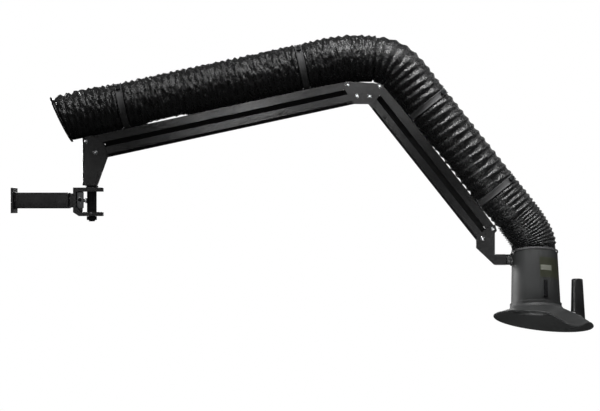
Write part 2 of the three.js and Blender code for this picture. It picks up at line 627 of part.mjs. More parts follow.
// Damper: a round blade on a spindle across the nozzle, with a lever outside; it rests open
function damper() {
  const group = new THREE.Group();
  group.position.z = DAMPER.z;
  group.rotation.z = DAMPER.turn;
  const half = DAMPER.thick / 2;
  const blade = rod("x", DAMPER.radius, -half, half, [0, 0], 24)
    .add(rod("y", DAMPER.hub, DAMPER.spindle - DAMPER.radius, DAMPER.radius - DAMPER.spindle))
    .subtract(rod("y", DAMPER.spindle + GAP, -SPINDLE.span / 2, SPINDLE.span / 2));
  const leverBack = LEVER.thick - SPINDLE.start;
  const lever = block(-LEVER.half, LEVER.half, -SPINDLE.start, leverBack, -LEVER.length, LEVER.half);
  const spindle = rod("y", DAMPER.spindle, 1 - SPINDLE.start, SPINDLE.back).add(lever);
  group.add(named("damper_blade", blade, ZINC));
  group.add(named("damper_lever", spindle, BLACK_PAINT));
  return group;
}

// Hose route: straight on both arms, curved at the inlet, elbow and hood
function hoseRuns() {
  const [s1, s2] = UPPER_STRAPS;
  const [s3, s4] = LOWER_STRAPS;
  const inletEnd = along(rearTop, upperWay, INLET.along, INLET.lift);
  const upperStart = along(rearTop, upperWay, s1, UPPER_LIFT);
  const upperEnd = along(rearTop, upperWay, s2, UPPER_LIFT);
  const crest = new THREE.Vector3(elbowOut.x + ELBOW_CREST.x, 0, elbowOut.z + ELBOW_CREST.z);
  const lowerStart = along(elbowOut, lowerWay, s3, LOWER_LIFT);
  const lowerEnd = along(elbowOut, lowerWay, s4, LOWER_LIFT);
  const way = (direction) => new THREE.Vector3(direction.x, 0, direction.z);
  const inletWay = way(polar(UPPER_RISE + INLET.turn));
  const crestWay = way(polar(ELBOW_CREST.turn));
  const hoodWay = new THREE.Vector3(0, 0, -1).applyAxisAngle(new THREE.Vector3(1, 0, 0), HOOD_ROLL);
  const hoodTop = new THREE.Vector3(HOOD_X, 0, HOOD_AXIS_Z).addScaledVector(hoodWay, -(NOZZLE.top + 1));
  const bend = (from, fromWay, to, toWay, handles) =>
    new THREE.CubicBezierCurve3(
      from,
      from.clone().addScaledVector(fromWay, handles[0]),
      to.clone().addScaledVector(toWay, -handles[1]),
      to,
    );
  return {
    inlet: bend(inletEnd, inletWay, upperStart, way(upperWay), INLET_HANDLES),
    upper: new THREE.LineCurve3(upperStart, upperEnd),
    elbowIn: bend(upperEnd, way(upperWay), crest, crestWay, ELBOW_IN_HANDLES),
    elbowOut: bend(crest, crestWay, lowerStart, way(lowerWay), ELBOW_OUT_HANDLES),
    lower: new THREE.LineCurve3(lowerStart, lowerEnd),
    outlet: bend(lowerEnd, way(lowerWay), hoodTop, hoodWay, OUTLET_HANDLES),
  };
}

// A stretch of a curve between two shares of its length, with a joint gap at both ends.
class Stretch extends THREE.Curve {
  constructor(curve, from = 0, to = 1) {
    super();
    const trim = GAP / curve.getLength();
    this.source = curve;
    this.from = from + trim;
    this.to = to - trim;
  }
  getPoint(t, target = new THREE.Vector3()) {
    return this.source.getPointAt(this.from + (this.to - this.from) * t, target);
  }
  getTangent(t, target = new THREE.Vector3()) {
    return this.source.getTangentAt(this.from + (this.to - this.from) * t, target);
  }
}

function hose() {
  const runs = hoseRuns();
  const pieces = [
    ["hose_inlet", new Stretch(runs.inlet), HOSE_NECK, HOSE_NECK],
    ["hose_upper", new Stretch(runs.upper), HOSE_NECK, HOSE_NECK],
    ["hose_elbow_in", new Stretch(runs.elbowIn), HOSE_NECK, HOSE_SEAM],
    ["hose_elbow_out", new Stretch(runs.elbowOut), HOSE_SEAM, HOSE_NECK],
    ["hose_lower", new Stretch(runs.lower), HOSE_NECK, HOSE_NECK],
    ["hose_outlet", new Stretch(runs.outlet, 0, OUTLET_SPLIT), HOSE_NECK, HOSE_SEAM],
    ["hose_neck", new Stretch(runs.outlet, OUTLET_SPLIT, 1), HOSE_SEAM, HOSE_TAIL],
  ];
  return pieces.map(([name, curve, plainStart, plainEnd]) =>
    named(name, ribbedHose(curve, plainStart, plainEnd), HOSE_FABRIC),
  );
}

const fumeArm = new THREE.Group();
fumeArm.add(...wallBracket());
fumeArm.add(...slewFork());
fumeArm.add(...uprightAssembly());
fumeArm.add(
  ...arm("upper", {
    topPivot: rearTop,
    tiePivot: rearTie,
    angle: UPPER_RISE,
    length: UPPER_LENGTH,
    barSection: UPPER_BAR,
    tieSection: UPPER_TIE,
    lift: UPPER_LIFT,
    straps: UPPER_STRAPS,
    strut: UPPER_STRUT,
  }),
);
fumeArm.add(...elbow());
fumeArm.add(
  ...arm("lower", {
    topPivot: elbowOut,
    tiePivot: elbowOutTie,
    angle: -LOWER_DROP,
    length: LOWER_LENGTH,
    barSection: LOWER_BAR,
    tieSection: LOWER_TIE,
    lift: LOWER_LIFT,
    straps: LOWER_STRAPS,
    strut: LOWER_STRUT,
  }),
);
fumeArm.add(...hanger());
fumeArm.add(hood());
fumeArm.add(...hose());

export default fumeArm;
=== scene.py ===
"""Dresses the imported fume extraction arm: ribbed hose, painted links, zinc bolts and a moulded hood.

Metres, +Z up, +X out from the wall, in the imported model's own frame.
"""

import json
import math
from functools import partialmethod

import bmesh
import bpy
import numpy as np
from mathutils import Matrix, Vector


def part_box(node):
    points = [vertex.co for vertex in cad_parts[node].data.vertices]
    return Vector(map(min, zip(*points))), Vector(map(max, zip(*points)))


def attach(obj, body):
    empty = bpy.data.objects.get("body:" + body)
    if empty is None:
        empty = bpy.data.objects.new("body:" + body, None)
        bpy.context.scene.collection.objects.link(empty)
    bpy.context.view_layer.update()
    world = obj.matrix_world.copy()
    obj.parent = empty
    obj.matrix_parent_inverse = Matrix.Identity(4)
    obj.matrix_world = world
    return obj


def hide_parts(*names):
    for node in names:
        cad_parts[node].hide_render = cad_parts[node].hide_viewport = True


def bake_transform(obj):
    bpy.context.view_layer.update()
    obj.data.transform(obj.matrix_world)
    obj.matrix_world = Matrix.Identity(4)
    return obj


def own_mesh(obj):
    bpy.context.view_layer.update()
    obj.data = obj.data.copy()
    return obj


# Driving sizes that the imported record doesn't hold
HOOD_CENTRE = Vector((1.774, 0.0, -0.201))
HOOD_ROLL = math.radians(-13)
HOSE_ROOT = 0.0715
HOSE_SWELL = 0.0020
HOSE_RIB = 0.0045
HOSE_PRESSED = 1.13
HOSE_WALL = 0.003
HOSE_SIDES = 120
UPPER_LIFT = 0.0924
LOWER_LIFT = 0.0920
UPPER_BAR_TOP = 0.0136
LOWER_BAR_TOP = 0.0130
UPPER_STRAPS = (0.146, 0.770)
LOWER_STRAPS = (0.150, 0.522)
INLET_ALONG = -0.070
INLET_LIFT = 0.0907
INLET_TURN = math.radians(14)
ELBOW_CREST = Vector((-0.0165, 0.0, 0.0930))
ELBOW_CREST_TURN = math.radians(-5.1)
OUTLET_SPLIT = 0.41
NOZZLE_TOP = 0.022
NECK_GAP = 0.001
# The handles at both ends of each run of the hose; a straight run has none of its own
RUN_HANDLES = {
    "inlet": (0.060, 0.060),
    "upper": None,
    "elbow_in": (0.127, 0.110),
    "elbow_out": (0.083, 0.134),
    "lower": None,
    "outlet": (0.140, 0.064),
}

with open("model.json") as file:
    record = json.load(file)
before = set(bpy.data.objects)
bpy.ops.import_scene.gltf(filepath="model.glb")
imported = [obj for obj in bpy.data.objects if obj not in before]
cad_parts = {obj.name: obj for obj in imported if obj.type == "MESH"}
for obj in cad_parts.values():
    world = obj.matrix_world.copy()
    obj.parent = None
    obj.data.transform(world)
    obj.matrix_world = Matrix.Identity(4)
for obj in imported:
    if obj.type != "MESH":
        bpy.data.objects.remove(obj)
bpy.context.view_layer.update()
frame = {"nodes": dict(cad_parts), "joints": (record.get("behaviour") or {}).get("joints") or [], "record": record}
RECORD = frame["record"]
BODY = {node: body for body, nodes in RECORD["behaviour"]["bodies"].items() for node in nodes}
SLOT = {part["node"]: part["material_slot"] for part in RECORD["subparts"]}
PIVOT = {joint["name"]: Vector(joint["pos_m"]) for joint in frame["joints"]}
REAR = PIVOT["upper_tilt"]
REAR_TIE = PIVOT["upper_tie_pivot"]
ELBOW_IN = PIVOT["elbow_level"]
ELBOW_OUT = PIVOT["lower_tilt"]
ELBOW_OUT_TIE = PIVOT["lower_tie_pivot"]
HANGER = PIVOT["hanger_level"]
UPPER_WAY = (ELBOW_IN - REAR).normalized()
LOWER_WAY = (HANGER - ELBOW_OUT).normalized()
ELBOW_IN_TIE = ELBOW_IN + REAR_TIE - REAR
HANGER_TIE = HANGER + ELBOW_OUT_TIE - ELBOW_OUT
HOOD_PLACE = Matrix.Translation(HOOD_CENTRE) @ Matrix.Rotation(HOOD_ROLL, 4, "X")


def link_place(pivot, way):
    """A link's own frame: X along the link, Z away from it on the hose's side."""
    return Matrix(((way.x, 0, -way.z, pivot.x), (0, 1, 0, 0), (way.z, 0, way.x, pivot.z), (0, 0, 0, 1)))


UPPER_PLACE = link_place(REAR, UPPER_WAY)
UPPER_TIE_PLACE = link_place(REAR_TIE, UPPER_WAY)
LOWER_PLACE = link_place(ELBOW_OUT, LOWER_WAY)
LOWER_TIE_PLACE = link_place(ELBOW_OUT_TIE, LOWER_WAY)


# Node trees written as formulas
class Field:
    """A node socket that takes part in arithmetic."""

    def __init__(self, tree, socket):
        self.tree = tree
        self.socket = socket

    def math(self, operation, *others):
        made = self.tree.nodes.new("ShaderNodeMath")
        made.operation = operation
        for socket, value in zip(made.inputs, (self, *others)):
            feed(self.tree, socket, value)
        return Field(self.tree, made.outputs[0])

    __add__ = partialmethod(math, "ADD")
    __sub__ = partialmethod(math, "SUBTRACT")
    __mul__ = partialmethod(math, "MULTIPLY")
    __truediv__ = partialmethod(math, "DIVIDE")
    __pow__ = partialmethod(math, "POWER")
    cosine = partialmethod(math, "COSINE")
    sine = partialmethod(math, "SINE")
    rounded = partialmethod(math, "ROUND")
    size = partialmethod(math, "ABSOLUTE")

    def left(self):
        """What is left of 1."""
        return self * -1.0 + 1.0

    def rise(self, start, end):
        """0 before start, 1 after end, smooth between."""
        ramp = node(
            self.tree, "ShaderNodeMapRange", {"interpolation_type": "SMOOTHSTEP"},
            Value=self, From_Min=start, From_Max=end,
        )
        return Field(self.tree, ramp.outputs["Result"])


def feed(tree, socket, value):
    """Links a field or socket to a socket, or sets its constant."""
    if isinstance(value, Field):
        value = value.socket
    if isinstance(value, bpy.types.NodeSocket):
        tree.links.new(value, socket)
    else:
        socket.default_value = value


def set_inputs(tree, made, **inputs):
    """Sets or links a node's inputs by name."""
    for label, value in inputs.items():
        feed(tree, made.inputs[label.replace("_", " ")], value)


def node(tree, kind, settings=None, **inputs):
    made = tree.nodes.new(kind)
    for key, value in (settings or {}).items():
        setattr(made, key, value)
    set_inputs(tree, made, **inputs)
    return made


def geometry_tree(name, **inputs):
    """A tree with a Geometry input and named inputs for its sizes; returns it with its input fields."""
    tree = bpy.data.node_groups.new(name, "GeometryNodeTree")
    tree.interface.new_socket("Geometry", in_out="INPUT", socket_type="NodeSocketGeometry")
    for label, kind in inputs.items():
        tree.interface.new_socket(label.replace("_", " "), in_out="INPUT", socket_type="NodeSocket" + kind)
    tree.interface.new_socket("Geometry", in_out="OUTPUT", socket_type="NodeSocketGeometry")
    source = tree.nodes.new("NodeGroupInput")
    fields = {label: Field(tree, source.outputs[label.replace("_", " ")]) for label in inputs}
    fields["Geometry"] = Field(tree, source.outputs["Geometry"])
    return tree, fields


def close_tree(tree, shape, material):
    """Ends a tree in real geometry with smooth faces and its material."""
    real = node(tree, "GeometryNodeRealizeInstances", Geometry=shape)
    smooth = node(tree, "GeometryNodeSetShadeSmooth", Geometry=real.outputs[0])
    painted = node(tree, "GeometryNodeSetMaterial", Geometry=smooth.outputs[0], Material=material)
    result = tree.nodes.new("NodeGroupOutput")
    tree.links.new(painted.outputs[0], result.inputs["Geometry"])


# Pieces: the angle in degrees past which an edge stays crisp
CREASE = 40


def new_piece(name, data):
    piece = bpy.data.objects.new(name, data)
    bpy.context.scene.collection.objects.link(piece)
    return piece


def meshed(name, sheet, material):
    """A mesh from an edit sheet, which isn't kept."""
    mesh = bpy.data.meshes.new(name)
    sheet.to_mesh(mesh)
    sheet.free()
    mesh.materials.append(material)
    return mesh


def settle(piece, crease=CREASE):
    """Turns a piece with modifiers into a plain mesh with smooth faces and crisp edges."""
    graph = bpy.context.evaluated_depsgraph_get()
    made = bpy.data.meshes.new_from_object(
        piece.evaluated_get(graph), preserve_all_data_layers=True, depsgraph=graph
    )
    old = piece.data
    piece.modifiers.clear()
    piece.data = made
    made.name = piece.name
    bpy.data.meshes.remove(old)
    if crease:
        made.shade_smooth()
        made.set_sharp_from_angle(angle=math.radians(crease))
    return piece


def grow(name, tree, points=(), **sizes):
    """Runs a node tree on a set of points and keeps the result as a plain piece."""
    mesh = bpy.data.meshes.new(name)
    mesh.from_pydata([tuple(point) for point in points], [], [])
    piece = new_piece(name, mesh)
    modifier = piece.modifiers.new("shape", "NODES")
    modifier.node_group = tree
    for item in tree.interface.items_tree:
        label = item.name.replace(" ", "_")
        if item.in_out == "INPUT" and label in sizes:
            modifier[item.identifier] = sizes[label]
    return piece


def stand_for(piece, *nodes):
    """The piece rides on its nodes' body and is shown in their place."""
    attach(piece, BODY[nodes[0]])
    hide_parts(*nodes)
    return piece


def add_to(piece, body):
    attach(piece, body)
    return piece


# Studio: camera, floor, sky and lights
CAMERA_PLACE = (0.9758, -8.0, -0.017)
CAMERA_LENS = 141.18
CAMERA_SENSOR = 36.0
CAMERA_REACH = 200.0
FLOOR_PLACE = (1.0, 0.0, -1.25)
FLOOR_RADIUS = 5.5
FLOOR_SIDES = 96
FLOOR_GREYS = ((0.84, 0.84, 0.84), (0.9, 0.9, 0.9))
FLOOR_MOTTLE = 0.8
SKY_HEIGHTS = (-0.5, 0.7)
SKY_STRENGTHS = (0.055, 0.09)
WHITE = (1, 1, 1, 1)
# Each light's place, target, width and height, power and spread in degrees
LIGHTS = {
    "overhead": ((0.9, -0.75, 2.7), (0.95, 0.0, 0.2), (3.2, 0.35), 46.0, 180),
    "left_rim": ((-1.9, 2.1, 0.3), (1.2, 0.0, 0.0), (0.5, 1.8), 110.0, 180),
    "streak_key": ((-2.8, -3.3, 2.8), (1.6, 0.0, 0.2), (1.0, 1.0), 0.9, 18),
    "lower_key": ((1.38, -1.13, 2.87), (1.55, 0.0, 0.1), (0.5, 0.5), 2.5, 30),
    "right_key": ((3.8, -0.6, 2.1), (1.6, 0.0, 0.1), (0.9, 0.9), 22.0, 180),
    "right_rim": ((3.2, 2.9, 1.5), (1.6, 0.0, 0.1), (1.2, 1.2), 4.0, 180),
    "elbow_fill": ((1.42, -6.0, 0.74), (1.17, 0.0, 0.36), (0.5, 0.3), 0.018, 11),
    "bar_glint": ((0.62, -6.0, 0.55), (0.75, 0.0, 0.31), (0.4, 0.2), 0.009, 6),
    "bracket_fill": ((-0.5, -6.0, 0.12), (0.12, 0.0, 0.03), (0.7, 0.4), 0.006, 10),
    "hanger_fill": ((2.1, -6.0, -0.23), (1.62, 0.0, -0.12), (0.3, 0.3), 0.003, 8),
    "hood_bounce": ((1.85, -1.3, -1.15), (1.79, 0.0, -0.42), (0.6, 0.4), 1.3, 40),
    "back_fill": ((0.6, 5.5, 0.9), (1.0, 0.0, 0.1), (2.5, 1.2), 60.0, 180),
}


def set_camera():
    data = bpy.data.cameras.new("camera")
    data.sensor_width = CAMERA_SENSOR
    data.lens = CAMERA_LENS
    data.clip_end = CAMERA_REACH
    camera = new_piece("camera", data)
    camera.location = CAMERA_PLACE
    camera.rotation_euler = (math.radians(90), 0, 0)
    bpy.context.scene.camera = camera
    bpy.context.scene.view_settings.view_transform = "Standard"


def lay_floor():
    """A round white floor that shows to the camera and adds no light to the object."""
    sheet = bmesh.new()
    bmesh.ops.create_circle(sheet, cap_ends=True, segments=FLOOR_SIDES, radius=FLOOR_RADIUS)
    floor = new_piece("floor", meshed("floor", sheet, pale_floor()))
    floor.location = FLOOR_PLACE
    floor.visible_diffuse = False
    floor.visible_glossy = False


def lay_sky():
    """White to the camera; for the light it gives, a faint sky that is brighter above."""
    world = bpy.data.worlds.new("studio")
    bpy.context.scene.world = world
    world.use_nodes = True
    tree = world.node_tree
    tree.nodes.clear()
    seen = tree.nodes.new("ShaderNodeLightPath").outputs["Is Camera Ray"]
    outward = tree.nodes.new("ShaderNodeTexCoord").outputs["Generated"]
    way = node(tree, "ShaderNodeSeparateXYZ", Vector=outward)
    sky = node(
        tree, "ShaderNodeMapRange", Value=way.outputs["Z"], From_Min=SKY_HEIGHTS[0], From_Max=SKY_HEIGHTS[1],
        To_Min=SKY_STRENGTHS[0], To_Max=SKY_STRENGTHS[1],
    )
    glow = node(tree, "ShaderNodeBackground", Color=WHITE, Strength=sky.outputs["Result"])
    backdrop = node(tree, "ShaderNodeBackground", Color=WHITE, Strength=1.0)
    mix = tree.nodes.new("ShaderNodeMixShader")
    for socket, source in zip(mix.inputs, (seen, glow.outputs[0], backdrop.outputs[0])):
        tree.links.new(source, socket)
    output = tree.nodes.new("ShaderNodeOutputWorld")
    tree.links.new(mix.outputs[0], output.inputs["Surface"])


def softbox(name, place, target, size, power, spread):
    data = bpy.data.lights.new(name, "AREA")
    data.spread = math.radians(spread)
    data.shape = "RECTANGLE"
    data.size, data.size_y = size
    data.energy = power
    light = new_piece(name, data)
    light.location = place
    light.rotation_euler = (Vector(target) - Vector(place)).to_track_quat("-Z", "Y").to_euler()


def studio():
    set_camera()
    lay_floor()
    lay_sky()
    for name, light in LIGHTS.items():
        softbox(name, *light)


# Finishes
BLOTCH_DETAIL = 5.0
GRAIN_DETAIL = 2.0
# Share of the broad blotches in a finish's tone, and how the mix is spread over its two colours
BLOTCH_SHARE = 0.75
TONE_FLOOR = 0.28
TONE_GAIN = 2.2
# Hose cloth: threads, scuffs and the colours of its valleys and crests; the crests' paler colour is partly wear,
# partly painted highlight
THREAD = 0.0016
THREADS_AROUND = 300
SCUFF_SIZE = 0.011
SCUFF_DETAIL = 4.0
CREST_WEAR_AND_HIGHLIGHT_GAIN = 1.1
WEAVE_TINT = 0.08
WEAVE_RELIEF = 0.2
CLOTH_COLOURS = ((0.0022, 0.0022, 0.0025), (0.011, 0.0112, 0.0118))
CLOTH_ROUGH = (0.16, 0.40)


def new_finish(name):
    """A material with its tree, its shader and the coordinates that its noise runs on."""
    material = bpy.data.materials.new(name)
    material.use_nodes = True
    tree = material.node_tree
    place = tree.nodes.new("ShaderNodeTexCoord").outputs["Object"]
    return material, tree, tree.nodes["Principled BSDF"], place


def noise(tree, place, size, detail=3.0, stretch=(1, 1, 1)):
    """Noise of about the given size in metres, on Object coordinates."""
    mapping = node(tree, "ShaderNodeMapping", Vector=place, Scale=stretch)
    texture = node(
        tree, "ShaderNodeTexNoise", Vector=mapping.outputs[0], Scale=1.0 / size, Detail=detail
    )
    return Field(tree, texture.outputs["Fac"])


def tint(tree, share, dark, light):
    """A colour that goes from dark to light with a field."""
    mix = node(tree, "ShaderNodeMix", {"data_type": "RGBA"})
    feed(tree, mix.inputs["Factor"], share)
    colours = [socket for socket in mix.inputs if socket.type == "RGBA"]
    for socket, colour in zip(colours, (dark, light)):
        socket.default_value = (*colour, 1)
    return [socket for socket in mix.outputs if socket.type == "RGBA"][0]


def span(tree, field, low, high):
    return node(tree, "ShaderNodeMapRange", Value=field, To_Min=low, To_Max=high).outputs["Result"]


def relief(tree, height, depth, strength=0.6):
    return node(tree, "ShaderNodeBump", Strength=strength, Distance=depth, Height=height).outputs[0]


def pale_floor():
    """White paint with a faint mottle, bright enough to melt into the backdrop."""
    material, tree, shader, place = new_finish("pale_floor")
    set_inputs(
        tree, shader, Base_Color=tint(tree, noise(tree, place, FLOOR_MOTTLE), *FLOOR_GREYS), Roughness=0.9,
        Emission_Color=WHITE, Emission_Strength=0.75,
    )
    return material


def surface(name, dark, light, rough, grain, depth, blotch, metallic=0.0, stretch=(1, 1, 1), specular=0.5):
    """A finish with blotchy tone and gloss, and a fine grain that stands out of the surface."""
    material, tree, shader, place = new_finish(name)
    tone = noise(tree, place, blotch, BLOTCH_DETAIL, stretch)
    fine = noise(tree, place, grain, GRAIN_DETAIL, stretch)
    share = (tone * BLOTCH_SHARE + fine * (1 - BLOTCH_SHARE) - TONE_FLOOR) * TONE_GAIN
    set_inputs(
        tree, shader, Base_Color=tint(tree, share, dark, light), Roughness=span(tree, tone, *rough),
        Metallic=metallic, Specular_IOR_Level=specular, Normal=relief(tree, fine, depth),
    )
    return material


def hose_cloth(name):
    """Black coated cloth: woven threads, dull valleys and paler crests, partly wear from rubbing and partly a
    painted highlight.
    """
    material, tree, shader, place = new_finish(name)

    def stored(label):
        return Field(tree, node(tree, "ShaderNodeAttribute", {"attribute_name": label}).outputs["Fac"])

    warp = (stored("run") * (2 * math.pi / THREAD)).sine()
    weft = (stored("around") * (2 * math.pi * THREADS_AROUND)).sine()
    weave = (warp * weft) * 0.5 + 0.5
    scuff = noise(tree, place, SCUFF_SIZE, SCUFF_DETAIL)
    # Crests painted paler where scuffed: partly wear from rubbing, partly painted highlight
    crest_wear_and_highlight = stored("crest") * scuff * CREST_WEAR_AND_HIGHLIGHT_GAIN + weave * WEAVE_TINT
    set_inputs(
        tree, shader, Base_Color=tint(tree, crest_wear_and_highlight, *CLOTH_COLOURS),
        Roughness=span(tree, scuff, *CLOTH_ROUGH), Specular_IOR_Level=0.6, Sheen_Weight=0.05,
        Normal=relief(tree, weave * WEAVE_RELIEF + scuff, depth=0.0011, strength=0.8),
    )
    return material


BLACK_PAINT = surface("satin_black_paint", (0.005, 0.005, 0.0055), (0.012, 0.012, 0.0125), (0.14, 0.24),
                      grain=0.0012, depth=0.00008, blotch=0.09)
HOSE_CLOTH = hose_cloth("black_hose_cloth")
STRAP_RUBBER = surface("grey_strap_rubber", (0.060, 0.060, 0.061), (0.095, 0.095, 0.097), (0.5, 0.65),
                       grain=0.0006, depth=0.00006, blotch=0.03)
# Painted shade: near-black matt rubber for sheets set where the arms show only shadow
SHADE_STRIP_BLACK = surface("matt_strip_rubber", (0.0015, 0.0015, 0.0016), (0.0035, 0.0035, 0.0036), (0.70, 0.88),
                      grain=0.0008, depth=0.00010, blotch=0.03, specular=0.2)
HOOD_PLASTIC = surface("moulded_hood_plastic", (0.016, 0.017, 0.017), (0.028, 0.029, 0.029), (0.48, 0.62),
                       grain=0.0009, depth=0.00012, blotch=0.12)
GRIP_PLASTIC = surface("dark_grip_plastic", (0.006, 0.006, 0.0065), (0.013, 0.013, 0.0135), (0.24, 0.36),
                       grain=0.0009, depth=0.00010, blotch=0.05)
ZINC = surface("bright_zinc", (0.58, 0.59, 0.61), (0.82, 0.83, 0.84), (0.10, 0.20), metallic=1.0,
               grain=0.002, depth=0.00005, blotch=0.006)
BRONZE = surface("bush_bronze", (0.30, 0.20, 0.07), (0.48, 0.34, 0.14), (0.3, 0.45), metallic=1.0,
                 grain=0.001, depth=0.00004, blotch=0.01)
OLIVE_FILM = surface("olive_blank_film", (0.020, 0.022, 0.012), (0.030, 0.032, 0.019), (0.35, 0.5),
                     grain=0.0005, depth=0.00003, blotch=0.03)
PALE_FILM = surface("pale_blank_film", (0.12, 0.125, 0.10), (0.17, 0.175, 0.15), (0.4, 0.55),
                    grain=0.0005, depth=0.00003, blotch=0.02)
DARK_STEEL = surface("black_oxide_steel", (0.016, 0.017, 0.018), (0.05, 0.052, 0.055), (0.24, 0.4),
                     metallic=0.6, grain=0.0015, depth=0.00004, blotch=0.03, stretch=(1, 1, 6))

FINISH = {
    "black_paint": BLACK_PAINT,
    "bronze_bush": BRONZE,
    "zinc_steel": ZINC,
    "dark_steel": DARK_STEEL,
    "strap_rubber": STRAP_RUBBER,
    "hose_fabric": HOSE_CLOTH,
    "hood_plastic": HOOD_PLASTIC,
}
for cad_name, cad_node in frame["nodes"].items():
    cad_node.data.materials.clear()
    cad_node.data.materials.append(FINISH[SLOT[cad_name]])


# Hose: crinkles to the metre round it, and how many more along it
CRINKLES_AROUND = 26.0
CRINKLES_ALONG = 58.0
CRINKLE_DETAIL = 1.5
SLACK_SCALE = 42.0
SLACK_DETAIL = 2.0
BEND_STEPS = 96
MEASURE_STEPS = 400
FOLD_DEPTH = 2.0
FOLD_LEVEL = 0.2
RIB_EASE = 0.005
# What counts as the underside: faces that look little enough sideways and far enough down
UNDER_NARROW = (0.12, 0.34)
UNDER_DOWN = (0.2, 0.5)
UNDER_FADE = 0.015
UNDER_LIFT = 0.9
HOSE_INPUTS = {
    "Vector": ("Start", "Start_Handle", "End_Handle", "End"),
    "Float": (
        "From", "To", "Root", "Rib", "Pitch", "Sharpness", "Plain_Start", "Plain_End", "Wrinkle", "Wobble",
        "Step", "Open_Start", "Open_End", "Hollow_Start", "Hollow_End", "Sag",
    ),
    "Material": ("Material",),
}


def kept_on_points(tree, geometry, label, value):
    """The geometry with a value stored on each of its points."""
    made = node(
        tree, "GeometryNodeStoreNamedAttribute", {"data_type": "FLOAT", "domain": "POINT"},
        Geometry=geometry, Name=label, Value=value,
    )
    return made.outputs[0]


def hose_tree():
    """A tube along a stretch of a Bezier curve, with a helical rib, plain ends and slack wrinkles."""
    tree, given = geometry_tree(
        "ribbed_hose", **{label: kind for kind, labels in HOSE_INPUTS.items() for label in labels}
    )
    bend = node(
        tree, "GeometryNodeCurvePrimitiveBezierSegment", {"mode": "POSITION"}, Resolution=BEND_STEPS,
        **{label: given[label] for label in HOSE_INPUTS["Vector"]},
    )
    part = node(
        tree, "GeometryNodeTrimCurve", {"mode": "FACTOR"},
        Curve=bend.outputs[0], Start=given["From"], End=given["To"],
    )
    path = node(
        tree, "GeometryNodeResampleCurve", {"mode": "LENGTH"}, Curve=part.outputs[0], Length=given["Step"]
    )
    total = Field(tree, node(tree, "GeometryNodeCurveLength", Curve=path.outputs[0]).outputs[0])
    circle = node(
        tree, "GeometryNodeCurvePrimitiveCircle", {"mode": "RADIUS"},
        Resolution=HOSE_SIDES, Radius=given["Root"],
    )
    along = tree.nodes.new("GeometryNodeSplineParameter")
    tube = node(
        tree, "GeometryNodeCurveToMesh",
        Curve=kept_on_points(tree, path.outputs[0], "run", along.outputs["Length"]),
        Profile_Curve=kept_on_points(tree, circle.outputs[0], "around", along.outputs["Factor"]),
    )

    def stored(label):
        made = node(tree, "GeometryNodeInputNamedAttribute", {"data_type": "FLOAT"}, Name=label)
        return Field(tree, made.outputs[0])

    def unrest(**inputs):
        return Field(tree, node(tree, "ShaderNodeTexNoise", **inputs).outputs["Fac"]) - 0.5

    run = stored("run")
    slack = unrest(Scale=SLACK_SCALE, Detail=SLACK_DETAIL)
    spot = tree.nodes.new("GeometryNodeInputPosition").outputs[0]
    wide = node(tree, "ShaderNodeVectorMath", {"operation": "SCALE"}, Vector=spot, Scale=CRINKLES_AROUND)
    close = node(tree, "ShaderNodeCombineXYZ", Y=run * CRINKLES_ALONG)
    drawn = tree.nodes.new("ShaderNodeVectorMath")
    for socket, source in zip(drawn.inputs, (wide, close)):
        tree.links.new(source.outputs[0], socket)
    crinkle = unrest(Vector=drawn.outputs[0], Scale=1.0, Detail=CRINKLE_DETAIL)
    fold = crinkle.size() * -FOLD_DEPTH + FOLD_LEVEL
    ribbed = total - given["Plain_Start"] - given["Plain_End"]
    step = ribbed / (ribbed / given["Pitch"]).rounded()
    turn = (run - given["Plain_Start"]) / step + stored("around") + slack * given["Wobble"]
    crest = ((turn * (2 * math.pi)).cosine() * -0.5 + 0.5) ** given["Sharpness"]
    inside = run.rise(given["Plain_Start"], given["Plain_Start"] + RIB_EASE)
    inside = inside * (total - run).rise(given["Plain_End"], given["Plain_End"] + RIB_EASE)
    normal = tree.nodes.new("GeometryNodeInputNormal").outputs[0]
    facing = node(tree, "ShaderNodeSeparateXYZ", Vector=normal)
    sideways = Field(tree, facing.outputs["Y"]).size()
    downward = Field(tree, facing.outputs["Z"]) * -1.0
    underside = (sideways * -1.0 + 0.5).rise(*UNDER_NARROW) * downward.rise(*UNDER_DOWN)

    def between(start, end):
        return run.rise(start, start + UNDER_FADE) * (end - run).rise(0.0, UNDER_FADE)

    resting = underside * between(given["Open_Start"], given["Open_End"]).left()
    lifted = underside * between(given["Hollow_Start"], given["Hollow_End"]) * -UNDER_LIFT + 1.0
    full = crest + (crest * -1.0 + HOSE_PRESSED) * resting
    slump = (run / total * math.pi).sine() * underside * given["Sag"]
    height = full * given["Rib"] + fold * given["Wrinkle"] * resting.left() + HOSE_SWELL
    push = node(
        tree, "ShaderNodeVectorMath", {"operation": "SCALE"},
        Vector=normal, Scale=height * inside * lifted + slump,
    )
    shaped = node(tree, "GeometryNodeSetPosition", Geometry=tube.outputs[0], Offset=push.outputs[0])
    # The crest share goes to the cloth, which paints the crests paler, partly as wear and partly as painted
    # highlight
    close_tree(tree, kept_on_points(tree, shaped.outputs[0], "crest", crest * inside), given["Material"])
    return tree


